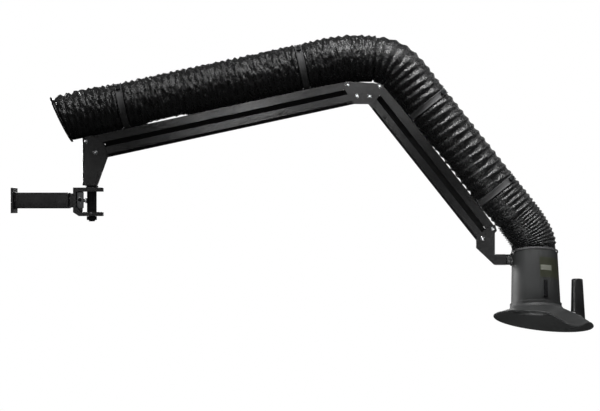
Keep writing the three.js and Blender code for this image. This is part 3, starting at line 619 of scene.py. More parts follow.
def hose_runs():
    """The hose's centre line: straight on both links, curved at the inlet, the elbow and the hood."""
    inlet_way = UPPER_PLACE.to_3x3() @ Vector((math.cos(INLET_TURN), 0, math.sin(INLET_TURN)))
    crest_way = Vector((math.cos(ELBOW_CREST_TURN), 0, math.sin(ELBOW_CREST_TURN)))
    hood_way = HOOD_PLACE.to_3x3() @ Vector((0, 0, -1))
    stations = [(UPPER_PLACE @ Vector((INLET_ALONG, 0, INLET_LIFT)), inlet_way)]
    stations += [(UPPER_PLACE @ Vector((along, 0, UPPER_LIFT)), UPPER_WAY) for along in UPPER_STRAPS]
    stations += [(ELBOW_OUT + ELBOW_CREST, crest_way)]
    stations += [(LOWER_PLACE @ Vector((along, 0, LOWER_LIFT)), LOWER_WAY) for along in LOWER_STRAPS]
    stations += [(HOOD_PLACE @ Vector((0, 0, NOZZLE_TOP + NECK_GAP)), hood_way)]
    runs = {}
    for name, (start, start_way), (end, end_way) in zip(RUN_HANDLES, stations, stations[1:]):
        start_handle, end_handle = RUN_HANDLES[name] or [(end - start).length / 3] * 2
        runs[name] = {
            "Start": start,
            "Start_Handle": start + start_way * start_handle,
            "End_Handle": end - end_way * end_handle,
            "End": end,
        }
    return runs


def bezier_point(run, share):
    """The point and the way of a Bezier stretch at a share of its length."""
    corners = np.array([run[key] for key in ("Start", "Start_Handle", "End_Handle", "End")])
    t = np.linspace(0, 1, MEASURE_STEPS)[:, None]
    line = ((1 - t) ** 3 * corners[0] + 3 * (1 - t) ** 2 * t * corners[1]
            + 3 * (1 - t) * t ** 2 * corners[2] + t ** 3 * corners[3])
    gone = np.concatenate(([0], np.cumsum(np.linalg.norm(np.diff(line, axis=0), axis=1))))
    point = Vector([np.interp(share * gone[-1], gone, line[:, axis]) for axis in range(3)])
    index = min(int(np.searchsorted(gone, share * gone[-1])), len(line) - 2)
    return point, Vector(line[index + 1] - line[max(index - 1, 0)]).normalized()


# Folds of the hose: the upper stretch is bunched up and crinkled, the lower one is drawn out
BUNCHED = {"Pitch": 0.0225, "Sharpness": 0.8, "Wrinkle": 0.0140, "Wobble": 0.5, "Step": 0.0020}
EASING = {"Pitch": 0.0255, "Sharpness": 1.0, "Wrinkle": 0.0060, "Wobble": 0.2, "Step": 0.0022}
DRAWN = {"Pitch": 0.0285, "Sharpness": 1.5, "Wrinkle": 0.0036, "Wobble": 0.16, "Step": 0.0022}
CLOSING = {"Pitch": 0.0190, "Sharpness": 1.0, "Wrinkle": 0.0036, "Wobble": 0.2, "Step": 0.0020}
TIGHT = {"Pitch": 0.0115, "Sharpness": 1.0, "Wrinkle": 0.0025, "Wobble": 0.2, "Step": 0.0016}
# How the underside of a stretch lies: lifted off its bar, open between the ribs, or sagging
BEFORE_START = -1.0
PAST_END = 9.0
LIFTED = {"Hollow_Start": 0.066, "Hollow_End": 0.212}
DRAWN_OFF = {"Open_Start": 0.118, "Open_End": 0.335}
LEAVING = {"Open_Start": 0.040, "Open_End": PAST_END}
SAGGING = {"Sag": 0.005}
SETTLED = {"Sag": 0.006}
FREE = {"Open_Start": BEFORE_START, "Open_End": PAST_END}
STRAP_END = 0.0105
CUFF_END = 0.0085
SEAM_END = 0.0
TAIL_END = 0.0180
# Piece, run, the shares of the run it spans, plain ends, folds, underside and the body at its far end
HOSE_PIECES = (
    ("hose_inlet", "inlet", (0.0, 1.0), (CUFF_END, STRAP_END), BUNCHED, SETTLED, "upper_hose_link"),
    ("hose_upper", "upper", (0.0, 1.0), (STRAP_END, STRAP_END), BUNCHED, LIFTED, None),
    ("hose_elbow_in", "elbow_in", (0.0, 1.0), (STRAP_END, SEAM_END), BUNCHED, SAGGING, "elbow"),
    ("hose_elbow_out", "elbow_out", (0.0, 1.0), (SEAM_END, STRAP_END), EASING, SAGGING, "lower_hose_link"),
    ("hose_lower", "lower", (0.0, 1.0), (STRAP_END, STRAP_END), DRAWN, DRAWN_OFF, None),
    ("hose_outlet", "outlet", (0.0, OUTLET_SPLIT), (STRAP_END, SEAM_END), CLOSING, LEAVING, "hanger"),
    ("hose_neck", "outlet", (OUTLET_SPLIT, 1.0), (SEAM_END, TAIL_END), TIGHT, FREE, "hood"),
)
HOSE_CREASE = 80


def hose():
    tree = hose_tree()
    runs = hose_runs()
    for cad_name, run_name, (start, end), (plain_start, plain_end), fold, underside, far_body in HOSE_PIECES:
        run = runs[run_name]
        piece = grow(
            "ribbed_" + cad_name, tree, From=start, To=end, Root=HOSE_ROOT, Rib=HOSE_RIB, Material=HOSE_CLOTH,
            Plain_Start=plain_start, Plain_End=plain_end, **fold, **underside, **run,
        )
        wall = piece.modifiers.new("wall", "SOLIDIFY")
        wall.thickness = HOSE_WALL
        wall.offset = -1.0
        settle(piece, HOSE_CREASE)
        if far_body is None:
            stand_for(piece, cad_name)
            continue
        first, first_way = bezier_point(run, start)
        last, last_way = bezier_point(run, end)
        chord = last - first
        chord.normalize()
        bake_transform(piece)
        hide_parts(cad_name)


# Shapes of revolution and lofted skins: the most of a side that a rounded corner takes
FILLET_SHARE = 0.45


def filleted(corners, radius, closed=False, steps=4):
    """Rounds the corners of a line of points with short curves."""
    corners = [np.array(corner, dtype=float) for corner in corners]
    count = len(corners)
    line = []
    for index, corner in enumerate(corners):
        if not closed and index in (0, count - 1):
            line.append(corner)
            continue
        before = corners[index - 1] - corner
        after = corners[(index + 1) % count] - corner
        shorter = min(np.linalg.norm(before), np.linalg.norm(after))
        reach = min(radius, FILLET_SHARE * shorter)
        first = corner + before / np.linalg.norm(before) * reach
        last = corner + after / np.linalg.norm(after) * reach
        for t in np.linspace(0, 1, steps + 1):
            line.append((1 - t) ** 2 * first + 2 * t * (1 - t) * corner + t ** 2 * last)
    return np.array(line)


def skin(name, rings, material, place=Matrix.Identity(4), looped=False, capped=False):
    """A closed skin over rings of points: the last ring meets the first, or both ends are capped."""
    rings = np.array(rings, dtype=float)
    count, around = rings.shape[:2]
    faces = []
    for row in range(count if looped else count - 1):
        following = (row + 1) % count
        for column in range(around):
            beside = (column + 1) % around
            faces.append((row * around + column, row * around + beside,
                          following * around + beside, following * around + column))
    if capped:
        faces.append(tuple(range(around)))
        faces.append(tuple((count - 1) * around + column for column in range(around)))
    mesh = bpy.data.meshes.new(name)
    mesh.from_pydata(rings.reshape(-1, 3).tolist(), [], faces)
    sheet = bmesh.new()
    sheet.from_mesh(mesh)
    bmesh.ops.remove_doubles(sheet, verts=sheet.verts, dist=1e-6)
    bmesh.ops.recalc_face_normals(sheet, faces=sheet.faces)
    sheet.to_mesh(mesh)
    sheet.free()
    mesh.transform(place)
    mesh.materials.append(material)
    return new_piece(name, mesh)


ALONG = {"x": Matrix.Rotation(math.pi / 2, 4, "Y"), "y": Matrix.Rotation(-math.pi / 2, 4, "X")}


def oblong(inner, outer, low, high):
    """The corners of a ring's section; an inner radius of 0 gives a plain cylinder."""
    return (inner, low), (outer, low), (outer, high), (inner, high)


def turned_ring(radius, height, flats=False, sides=48):
    """A ring about Z, round or with six flats."""
    angles = np.linspace(0, 2 * math.pi, sides, endpoint=False)
    if flats:
        off_flat = (angles + math.pi / 6) % (math.pi / 3) - math.pi / 6
        radius = radius * math.cos(math.pi / 6) / np.cos(off_flat)
    return np.stack([radius * np.cos(angles), radius * np.sin(angles), np.full(sides, height)], axis=1)


def ringed(name, rings, material, place=Matrix.Identity(4), looped=False):
    """A part about its own Z from rings of a radius, a height, flats or none and a count of sides."""
    return skin(name, [turned_ring(*ring) for ring in rings], material, place, looped)


def turned(name, profile, material, place=Matrix.Identity(4), sides=48, looped=False):
    """A turned part; a looped profile gives a ring, an open one starts and ends on the axis."""
    rings = [(radius, height, False, sides) for radius, height in profile]
    return ringed(name, rings, material, place, looped)


def lathed(name, corners, material, place=Matrix.Identity(4), *, radius, sides=48, looped=False, steps=4):
    """A turned part whose corners are rounded."""
    return turned(name, filleted(corners, radius, looped, steps), material, place, sides, looped)


def rounded_block(name, low, high, material, place=Matrix.Identity(4), *, radius):
    """A block with rounded edges."""
    sheet = bmesh.new()
    size = Vector(high) - Vector(low)
    middle = (Vector(high) + Vector(low)) / 2
    bmesh.ops.create_cube(sheet, size=1.0, matrix=Matrix.Translation(middle) @ Matrix.Diagonal((*size, 1)))
    bmesh.ops.bevel(sheet, geom=sheet.edges[:], offset=radius, segments=3, profile=0.5, affect="EDGES")
    mesh = meshed(name, sheet, material)
    mesh.transform(place)
    return new_piece(name, mesh)


def joined(name, *pieces):
    """Several closed shapes as one piece."""
    sheet = bmesh.new()
    for piece in pieces:
        sheet.from_mesh(piece.data)
    mesh = meshed(name, sheet, pieces[0].data.materials[0])
    for piece in pieces:
        bpy.data.objects.remove(piece)
    mesh.shade_smooth()
    mesh.set_sharp_from_angle(angle=math.radians(CREASE))
    return new_piece(name, mesh)


def dress(word, cad_name, *pieces):
    """Closed shapes, joined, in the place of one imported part."""
    return stand_for(joined(f"{word}_{cad_name}", *pieces), cad_name)


# Rigid sheet and bar parts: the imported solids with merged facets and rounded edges
ROUNDED_PARTS = (
    ("wall_plate", 0.0016),
    ("wall_tube", 0.0030),
    ("slew_fork", 0.0024),
    ("slew_brake_pad", 0.0008),
    ("upright", 0.0012),
    ("upper_hose_bar", 0.0011),
    ("upper_tie_bar", 0.0011),
    ("elbow_bracket", 0.0012),
    ("lower_hose_bar", 0.0011),
    ("lower_tie_bar", 0.0011),
    ("hanger_bracket", 0.0012),
    ("damper_lever", 0.0012),
)
BEND_RADIUS = 0.007
BEND_SHORTEST = 0.08
UPRIGHT_BACK = 0.238
UPRIGHT_HALF = 0.024
TIE_FOOT = {"upper_tie_bar": (UPPER_TIE_PLACE, -0.024), "lower_tie_bar": (LOWER_TIE_PLACE, -0.019)}
TIE_HALF = 0.015


def bent_edges(cad_name, sheet):
    """The long edges where a sheet is bent: the upright's rear ones and the tie bars' lower ones."""
    near = 0.0004
    if cad_name == "upright":
        def bent(point):
            return abs(point.x - UPRIGHT_BACK) < near and abs(abs(point.y) - UPRIGHT_HALF) < near
    elif cad_name in TIE_FOOT:
        place, foot = TIE_FOOT[cad_name]
        back = place.inverted()

        def bent(point):
            local = back @ point
            return abs(local.z - foot) < near and abs(abs(local.y) - TIE_HALF) < near
    else:
        return []
    return [
        edge for edge in sheet.edges
        if edge.calc_length() > BEND_SHORTEST and all(bent(corner.co) for corner in edge.verts)
    ]


def rounded_parts():
    for cad_name, radius in ROUNDED_PARTS:
        mesh = frame["nodes"][cad_name].data.copy()
        sheet = bmesh.new()
        sheet.from_mesh(mesh)
        bmesh.ops.remove_doubles(sheet, verts=sheet.verts, dist=2e-5)
        bmesh.ops.dissolve_limit(sheet, angle_limit=math.radians(1), verts=sheet.verts, edges=sheet.edges)
        bends = bent_edges(cad_name, sheet)
        if bends:
            bmesh.ops.bevel(sheet, geom=bends, offset=BEND_RADIUS, segments=5, profile=0.5, affect="EDGES")
        sheet.to_mesh(mesh)
        sheet.free()
        mesh.shade_smooth()
        piece = new_piece("rounded_" + cad_name, mesh)
        edges = piece.modifiers.new("edges", "BEVEL")
        edges.width = radius
        edges.segments = 2
        edges.limit_method = "ANGLE"
        edges.angle_limit = math.radians(35)
        edges.use_clamp_overlap = True
        flats = piece.modifiers.new("flats", "WEIGHTED_NORMAL")
        flats.weight = 100
        settle(piece, None)
        stand_for(piece, cad_name)


# Shade strips: near-black matt rubber that closes the slot between an arm's two bars and lines the tie bars' lower
# edges; all of it is painted shade, a dark sheet set where the arm shows only shadow
UPPER_LONG = (ELBOW_IN - REAR).length
LOWER_LONG = (HANGER - ELBOW_OUT).length
# Distance from the middle, thickness and rounding: inside a tie bar, inside a hose bar, on a tie bar's edge
IN_TIE = (0.0102, 0.0014, 0.0004)
IN_BAR = (0.0084, 0.0014, 0.0004)
ON_EDGE = (TIE_HALF, 0.0007, 0.0003)
# Piece, body, place, how it is set, and each strip's start, end, foot and top along and across the arm
STRIP_SETS = (
    ("upper_dust_strips", "upper_tie_link", UPPER_TIE_PLACE, IN_TIE, (
        (0.042, 0.845, 0.001, 0.032),
        (0.026, 0.042, 0.001, 0.0185),
        (0.845, 0.882, 0.001, 0.0185),
    )),
    ("lower_dust_strips", "lower_tie_link", LOWER_TIE_PLACE, IN_TIE, (
        (0.200, 0.558, 0.001, 0.032),
        (0.058, 0.200, 0.001, 0.0185),
    )),
    # Painted shade along the tie bars' lower edges, which show dark
    ("upper_tie_trim", "upper_tie_link", UPPER_TIE_PLACE, ON_EDGE, ((0.040, 0.868, -0.0238, -0.0135),)),
    ("lower_tie_trim", "lower_tie_link", LOWER_TIE_PLACE, ON_EDGE, ((0.040, 0.577, -0.0188, -0.0130),)),
    # Painted shade inside the hose bars near their ends
    ("upper_end_strips", "upper_hose_link", UPPER_PLACE, IN_BAR, (
        (0.026, 0.062, -0.022, -0.008),
        (0.062, 0.095, -0.033, -0.008),
        (UPPER_LONG - 0.062, UPPER_LONG - 0.026, -0.033, -0.008),
        (UPPER_LONG - 0.026, UPPER_LONG - 0.006, -0.033, -0.0152),
    )),
    ("lower_end_strips", "lower_hose_link", LOWER_PLACE, IN_BAR, (
        (0.026, 0.062, -0.022, -0.008),
        (LOWER_LONG - 0.062, LOWER_LONG - 0.026, -0.022, -0.008),
        (0.062, 0.212, -0.033, -0.008),
    )),
    # Painted shade at the ends of the lower arm's slot
    ("lower_slot_boots", "lower_tie_link", LOWER_TIE_PLACE, IN_TIE, (
        (0.026, 0.058, 0.001, 0.028),
        (0.558, 0.591, 0.001, 0.028),
        (0.006, 0.026, 0.0124, 0.028),
        (0.591, 0.611, 0.0124, 0.028),
    )),
)


def shade_strips():
    """Strips on the front and the back of each arm."""
    # Every strip is painted shade: a near-black sheet where the arm shows only shadow
    made = {}
    for name, body, place, (inset, thick, rounding), runs in STRIP_SETS:
        blocks = []
        for start, end, low, high in runs:
            for side in (-1, 1):
                inner, outer = sorted((side * inset, side * (inset + thick)))
                corners = (start, inner, low), (end, outer, high)
                blocks.append(rounded_block("strip", *corners, SHADE_STRIP_BLACK, place, radius=rounding))
        made[name] = add_to(joined(name, *blocks), body)
    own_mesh(made["lower_slot_boots"])


# Repeats: one shape set at each point of a mesh
def repeat_tree():
    tree, given = geometry_tree("set_at_points", Shape="Object", Material="Material")
    shape = node(tree, "GeometryNodeObjectInfo", Object=given["Shape"])
    points = node(tree, "GeometryNodeMeshToPoints", Mesh=given["Geometry"])
    copies = node(
        tree, "GeometryNodeInstanceOnPoints", Points=points.outputs[0], Instance=shape.outputs["Geometry"]
    )
    close_tree(tree, copies.outputs[0], given["Material"])
    return tree


REPEAT = repeat_tree()


def repeat(name, shape, points, crease=CREASE):
    """Copies of a shape at points, as one piece; the shape itself isn't kept."""
    piece = grow(name, REPEAT, points, Shape=shape, Material=shape.data.materials[0])
    settle(piece, crease)
    bpy.data.objects.remove(shape)
    return piece


PIVOT_BOLT = 0.006
BOLT_HEAD = 0.0070
BOLT_GAP = 0.0001
WASHER = 0.0074
WASHER_THICK = 0.0010
WASHER_CHAMFER = (0.0002, 0.0003)
# Socket head outwards, nut and thread end inwards: radius, height on the washer, six flats or none
HEAD_LINE = (
    (0.0, 0.0020, False),
    (0.0027, 0.0020, True),
    (0.0028, 0.0038, True),
    (0.0036, 0.0043, False),
    (0.0052, 0.0038, False),
    (0.0063, 0.0026, False),
    (BOLT_HEAD, 0.0010, False),
    (BOLT_HEAD, 0.0, False),
)
NUT_LINE = (
    (BOLT_HEAD, 0.0, True),
    (BOLT_HEAD, 0.0026, True),
    (0.0058, 0.0032, False),
    (0.0050, 0.0032, False),
    (0.0050, 0.0040, False),
    (0.0042, 0.0046, False),
    (0.0, 0.0046, False),
)
# Piece, half of the width it clamps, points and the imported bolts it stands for
BOLT_SETS = (
    ("upright_pivot_bolts", 0.0240, (REAR, REAR_TIE), ("rear_top_pin", "rear_tie_pin")),
    (
        "elbow_pivot_bolts", 0.0200, (ELBOW_IN, ELBOW_IN_TIE, ELBOW_OUT, ELBOW_OUT_TIE),
        ("elbow_upper_top_pin", "elbow_upper_tie_pin", "elbow_lower_top_pin", "elbow_lower_tie_pin"),
    ),
    ("hanger_pivot_bolts", 0.0200, (HANGER, HANGER_TIE), ("hanger_top_pin", "hanger_tie_pin")),
)


def pivot_bolt(half_span):
    """A bolt along Y: domed socket head, two washers, shank, hexagon nut and a thread end."""
    face = half_span + BOLT_GAP
    seat = face + WASHER_THICK
    narrower, lower = WASHER_CHAMFER
    washer = ((PIVOT_BOLT, face), (WASHER, face), (WASHER, seat - lower), (WASHER - narrower, seat))
    rings = [(radius, -seat - height, flats) for radius, height, flats in HEAD_LINE]
    rings += [(radius, -height) for radius, height in reversed(washer)]
    rings += washer
    rings += [(radius, seat + height, flats) for radius, height, flats in NUT_LINE]
    return ringed("pivot_bolt", rings, ZINC, ALONG["y"])


def pivot_bolts():
    for name, half_span, points, nodes in BOLT_SETS:
        stand_for(repeat(name, pivot_bolt(half_span), points), *nodes)


# Hose straps: a band with raised edges, a worm clamp and a foot on the bar
STRAP_INNER = 0.0726
STRAP_OUTER = 0.0775
STRAP_HALF = 0.011
STRAP_FOOT = 0.015
STRAP_SINK = 0.0020
FOOT_HALF = 0.013
FOOT_GAP = 0.0002
# The band's raised edge: depth below its outer radius and distance from its side
BAND_EDGE = ((0.0, 0.0), (0.0, 0.0035), (0.0014, 0.0045))
BAND_LINE = (
    (STRAP_INNER, -STRAP_HALF),
    *((STRAP_OUTER - deep, -STRAP_HALF + aside) for deep, aside in BAND_EDGE),
    *((STRAP_OUTER - deep, STRAP_HALF - aside) for deep, aside in reversed(BAND_EDGE)),
    (STRAP_INNER, STRAP_HALF),
)
CLAMP_TURN = math.radians(40)
CLAMP_HALF = (0.0075, 0.010)
CLAMP_SINK = 0.0016
CLAMP_HIGH = 0.0052
CLAMP_SCREW = (0.0034, 0.0150)
CLAMP_SCREW_LIFT = CLAMP_HIGH / 2 + 0.001
STRAP_SETS = (
    ("upper", UPPER_PLACE, UPPER_STRAPS, UPPER_LIFT, UPPER_BAR_TOP),
    ("lower", LOWER_PLACE, LOWER_STRAPS, LOWER_LIFT, LOWER_BAR_TOP),
)


def strap_clamp(name, place):
    """The tightening screw in its housing on top of a strap."""
    wide, long = CLAMP_HALF
    thick, reach = CLAMP_SCREW
    corners = (-wide, -long, -CLAMP_SINK), (wide, long, CLAMP_HIGH)
    housing = rounded_block("housing", *corners, DARK_STEEL, place, radius=0.0012)
    screw_place = place @ Matrix.Translation((0, 0, CLAMP_SCREW_LIFT)) @ ALONG["y"]
    screw_line = oblong(0.0, thick, -reach, reach)
    screw = lathed("screw", screw_line, DARK_STEEL, screw_place, radius=0.0007, sides=24)
    return joined(name, housing, screw)


def hose_straps():
    for prefix, place, distances, lift, bar_top in STRAP_SETS:
        for count, distance in enumerate(distances, 1):
            cad_name = f"{prefix}_hose_strap_{count}"
            middle = place @ Matrix.Translation((distance, 0, lift))
            around = middle @ ALONG["x"]
            band = lathed(
                "band", BAND_LINE, STRAP_RUBBER, around, radius=0.0008, sides=96, looped=True, steps=3
            )
            low = (-STRAP_FOOT, -FOOT_HALF, bar_top + FOOT_GAP - lift)
            high = (STRAP_FOOT, FOOT_HALF, -STRAP_INNER - STRAP_SINK)
            foot = rounded_block("foot", low, high, STRAP_RUBBER, middle, radius=0.0022)
            dress("banded", cad_name, band, foot)
            on_top = middle @ Matrix.Rotation(CLAMP_TURN, 4, "X") @ Matrix.Translation((0, 0, STRAP_OUTER))
            add_to(strap_clamp("clamp_" + cad_name, on_top), BODY[cad_name])


# Hood: nozzle, collar, bell-shaped flange, grip and damper
NOZZLE_RADIUS = 0.0775
NOZZLE_FOOT = 0.0840
NOZZLE_WALL = 0.003
NOZZLE_BOTTOM = -0.170
SPIGOT_RADIUS = 0.059
SPIGOT_TOP = 0.034
BOSS_BORE = 0.0076
BOSS_RADIUS = 0.018
BOSS_PLATE = 0.0215
BOSS_START = -0.097
BOSS_PLATE_START = -0.083
BOSS_END = -0.0755


def nozzle():
    spigot_bore = SPIGOT_RADIUS - NOZZLE_WALL
    wall_line = (
        (NOZZLE_FOOT - NOZZLE_WALL, NOZZLE_BOTTOM),
        (NOZZLE_FOOT, NOZZLE_BOTTOM),
        (NOZZLE_RADIUS, NOZZLE_TOP),
        (SPIGOT_RADIUS, NOZZLE_TOP),
        (SPIGOT_RADIUS, SPIGOT_TOP),
        (spigot_bore, SPIGOT_TOP),
        (spigot_bore, NOZZLE_TOP - NOZZLE_WALL),
        (NOZZLE_RADIUS - NOZZLE_WALL, NOZZLE_TOP - NOZZLE_WALL),
    )
    boss_line = (
        (BOSS_BORE, BOSS_START),
        (BOSS_RADIUS, BOSS_START),
        (BOSS_RADIUS, BOSS_PLATE_START),
        (BOSS_PLATE, BOSS_PLATE_START),
        (BOSS_PLATE, BOSS_END),
        (BOSS_BORE, BOSS_END),
    )
    wall = lathed("wall", wall_line, HOOD_PLASTIC, HOOD_PLACE, radius=0.0025, sides=96, looped=True)
    boss_place = HOOD_PLACE @ ALONG["x"]
    boss = lathed("boss", boss_line, HOOD_PLASTIC, boss_place, radius=0.002, sides=40, looped=True)
    dress("moulded", "hood_nozzle", wall, boss)


# Blank films on the nozzle: two angles from its front, two heights
OLIVE_AREA = (math.radians(6), math.radians(68), -0.075, -0.0055)
PALE_AREA = (math.radians(8), math.radians(37), -0.0507, -0.0332)
FILM_THICK = 0.0006
FILM_SINK = 0.0003
FILM_STEPS = 24


def film(name, first, last, low, high, lift, material):
    """A thin sheet laid round the nozzle's front, between two angles and two heights, with nothing on it."""
    def reach(height):
        share = (NOZZLE_TOP - height) / (NOZZLE_TOP - NOZZLE_BOTTOM)
        return NOZZLE_RADIUS + (NOZZLE_FOOT - NOZZLE_RADIUS) * share + lift

    section = [(reach(height) + proud, height) for proud, height in oblong(-FILM_SINK, FILM_THICK, low, high)]
    rings = [
        [(radius * math.sin(angle), -radius * math.cos(angle), height) for radius, height in section]
        for angle in np.linspace(first, last, FILM_STEPS)
    ]
    piece = skin(name, rings, material, HOOD_PLACE, capped=True)
    add_to(joined(name + "_plain", piece), "hood")


def blank_films():
    film("olive_film", *OLIVE_AREA, 0.0, OLIVE_FILM)
    film("pale_film", *PALE_AREA, FILM_THICK, PALE_FILM)


# Collar: inner and outer radius, foot and top
COLLAR_LINE = oblong(0.0766, 0.0796, 0.0224, 0.0290)


def hose_collar():
    ring = lathed(
        "ring_hose_collar", COLLAR_LINE, STRAP_RUBBER, HOOD_PLACE, radius=0.0016, sides=96, looped=True
    )
    stand_for(ring, "hose_collar")


# Flange profile: radius, height and share of the rim's shift and tilt
FLANGE_WALL = 0.003
FLANGE_LINE = (
    (0.0846, -0.1540, 0.0),
    (0.0846, -0.1640, 0.0),
    (0.0900, -0.1760, 0.12),
    (0.1278, -0.1935, 0.56),
    (0.1655, -0.2110, 1.0),
)
FLANGE_SIDES = 144
FLANGE_SPLIT = 4
FLANGE_ROUND = 0.016
FLANGE_SHIFT = 0.0245
FLANGE_TILT = math.radians(6.9)
DROOP_AZIMUTH = math.radians(-60)
DROOP_DEPTH = 0.030
DROOP_HALF = math.radians(36)
DROOP_START = 0.096
DROOP_POWER = 1.8
RIM_BEAD = 0.0026
RIM_HALF_TURN = math.pi * 0.7
RIM_STEPS = 9


def flange_ring(radius, height, share):
    """A ring of the flange: its rim is set off towards the grip, tilted, and droops on one side."""
    azimuth = np.linspace(0, 2 * math.pi, FLANGE_SIDES, endpoint=False)
    away = np.abs((azimuth - DROOP_AZIMUTH + math.pi) % (2 * math.pi) - math.pi)
    facing = np.cos(np.minimum(1, away / DROOP_HALF) * math.pi / 2) ** 2
    outward = max(0.0, (radius - DROOP_START) / (FLANGE_LINE[-1][0] - DROOP_START))
    sag = DROOP_DEPTH * facing * outward ** DROOP_POWER
    x = radius * np.cos(azimuth) + share * FLANGE_SHIFT
    y = radius * np.sin(azimuth)
    return np.stack([x, y, height - sag - share * x * math.tan(FLANGE_TILT)], axis=1)


def flange():
    under = filleted(FLANGE_LINE, FLANGE_ROUND, steps=8)
    under = np.concatenate([
        np.linspace(first, last, FLANGE_SPLIT, endpoint=False) for first, last in zip(under[:-1], under[1:])
    ] + [under[-1:]])
    over = under + np.array([FLANGE_WALL, 0, 0])
    over[:, 1] += FLANGE_WALL * np.minimum(1, under[:, 2] / FLANGE_LINE[2][2])
    rim_radius, rim_height, rim_share = over[-1]
    bead_radius = rim_radius - RIM_BEAD
    bead_height = rim_height - FLANGE_WALL / 2
    bead = [
        (bead_radius + RIM_BEAD * math.cos(angle), bead_height + RIM_BEAD * math.sin(angle), rim_share)
        for angle in np.linspace(RIM_HALF_TURN, -RIM_HALF_TURN, RIM_STEPS)
    ]
    rings = [flange_ring(*station) for station in (*over[:-1], *bead, *under[-2::-1])]
    piece = skin("moulded_hood_flange", rings, HOOD_PLASTIC, HOOD_PLACE, looped=True)
    piece.data.shade_smooth()
    return stand_for(piece, "hood_flange")


GRIP_X = 0.1415
GRIP_Y = -0.004
GRIP_TOP = -0.068
GRIP_TAPER_FOOT = -0.236
GRIP_TOP_HALF = 0.019
GRIP_FOOT_HALF = 0.026
GRIP_FLAT = 0.72
GRIP_ROUND = 0.004
GRIP_SIDES = 48
GRIP_ROUND_STEPS = 7
GRIP_RINGS = 12
GRIP_CREASE = 60
# The ankle's height for the taper and above the flange, then how far the foot flares at each lift
GRIP_ANKLE = (-0.185, 0.010)
GRIP_FOOT = ((0.0008, 0.006), (0.0024, 0.003), (0.0050, 0.0008), (0.0054, 0.0001))


def grip(bell):
    """A tapered post with a rounded top; its flared foot follows the flange's upper face."""
    angles = np.linspace(0, 2 * math.pi, GRIP_SIDES, endpoint=False)
    back = HOOD_PLACE.inverted()
    down = HOOD_PLACE.to_3x3() @ Vector((0, 0, -1))

    def oval(height, half):
        x = GRIP_X + half * np.cos(angles)
        y = GRIP_Y + half * GRIP_FLAT * np.sin(angles)
        return np.stack([x, y, np.full(GRIP_SIDES, height)], axis=1)

    def half_at(height):
        share = (height - GRIP_TAPER_FOOT) / (GRIP_TOP - GRIP_TAPER_FOOT)
        return GRIP_FOOT_HALF + (GRIP_TOP_HALF - GRIP_FOOT_HALF) * share

    def on_flange(half, lift):
        """An oval laid on the flange, raised by lift."""
        laid = oval(0, half)
        for point in laid:
            above = HOOD_PLACE @ Vector((point[0], point[1], GRIP_TOP))
            hit, where, _, _ = bell.ray_cast(above, down)
            if hit:
                point[2] = (back @ where).z + lift
        return laid

    rings = []
    for angle in np.linspace(math.pi / 2, 0, GRIP_ROUND_STEPS):
        height = GRIP_TOP - GRIP_ROUND * (1 - math.sin(angle))
        rings.append(oval(height, half_at(GRIP_TOP - GRIP_ROUND) - GRIP_ROUND * (1 - math.cos(angle))))
    shoulder = rings[-1]
    taper_height, ankle_lift = GRIP_ANKLE
    ankle_half = half_at(taper_height)
    ankle = on_flange(ankle_half, ankle_lift)
    rings += [shoulder + (ankle - shoulder) * share for share in np.linspace(0, 1, GRIP_RINGS)[1:]]
    rings += [on_flange(ankle_half + flare, lift) for flare, lift in GRIP_FOOT]
    piece = skin("moulded_hood_grip", rings, GRIP_PLASTIC, HOOD_PLACE, capped=True)
    piece.data.shade_smooth()
    piece.data.set_sharp_from_angle(angle=math.radians(GRIP_CREASE))
    stand_for(piece, "hood_handle")


DAMPER_Z = -0.092
DAMPER_TURN = math.radians(17.5)
BLADE_RADIUS = 0.070
BLADE_HALF = 0.00125
BLADE_CHAMFER = (0.0010, 0.0006)
HUB_RADIUS = 0.008
HUB_HALF = 0.066
HUB_BORE = 0.0044


def damper_blade():
    """A round plate with a dished rim on a tube that takes the spindle."""
    place = HOOD_PLACE @ Matrix.Translation((0, 0, DAMPER_Z)) @ Matrix.Rotation(DAMPER_TURN, 4, "Z")
    narrower, lower = BLADE_CHAMFER
    profile = (
        (0.0, -BLADE_HALF),
        (BLADE_RADIUS - narrower, -BLADE_HALF),
        (BLADE_RADIUS, -BLADE_HALF + lower),
        (BLADE_RADIUS, BLADE_HALF - lower),
        (BLADE_RADIUS - narrower, BLADE_HALF),
        (0.0, BLADE_HALF),
    )
    plate = turned("plate", profile, ZINC, place @ ALONG["x"], sides=96)
    hub_line = oblong(HUB_BORE, HUB_RADIUS, -HUB_HALF, HUB_HALF)
    hub = lathed("hub", hub_line, ZINC, place @ ALONG["y"], radius=0.0008, sides=32, looped=True)
    dress("pressed", "damper_blade", plate, hub)


# Gas struts inside the tie bars
STRUT_RADIUS = 0.008
STRUT_EYE_GAP = 0.0055
STRUT_SLEEVE = 0.060
STRUT_DROP = -0.0035
ROD_RADIUS = 0.004
ROD_BORE = 0.0044
ROD_END_GAP = 0.005
EYE_LINE = oblong(0.0036, 0.007, -0.004, 0.004)
CROSS_PIN = 0.003
PIN_END = TIE_HALF + 0.0020
PIN_LINE = oblong(0.0, CROSS_PIN, -PIN_END, PIN_END)
# A clip on each end of the pin: its inner and outer radius, and the two heights it spans outside the bar
CLIP_RADII = (CROSS_PIN + 0.0001, CROSS_PIN + 0.0028)
CLIP_HEIGHTS = (TIE_HALF + 0.0002, TIE_HALF + 0.0010)
CLIP_LINES = [oblong(*CLIP_RADII, *(side * height for height in CLIP_HEIGHTS)) for side in (1, -1)]
# Arm, place, and where the cylinder's eye, the cylinder's end and the rod's eye lie along the bar
STRUTS = (
    ("upper", UPPER_TIE_PLACE, 0.110, 0.430, 0.640),
    ("lower", LOWER_TIE_PLACE, 0.090, 0.300, 0.450),
)


def cross_place(place, at):
    """A frame across a tie bar, on the strut's line, at a distance along it."""
    return place @ Matrix.Translation((at, 0, STRUT_DROP)) @ ALONG["y"]


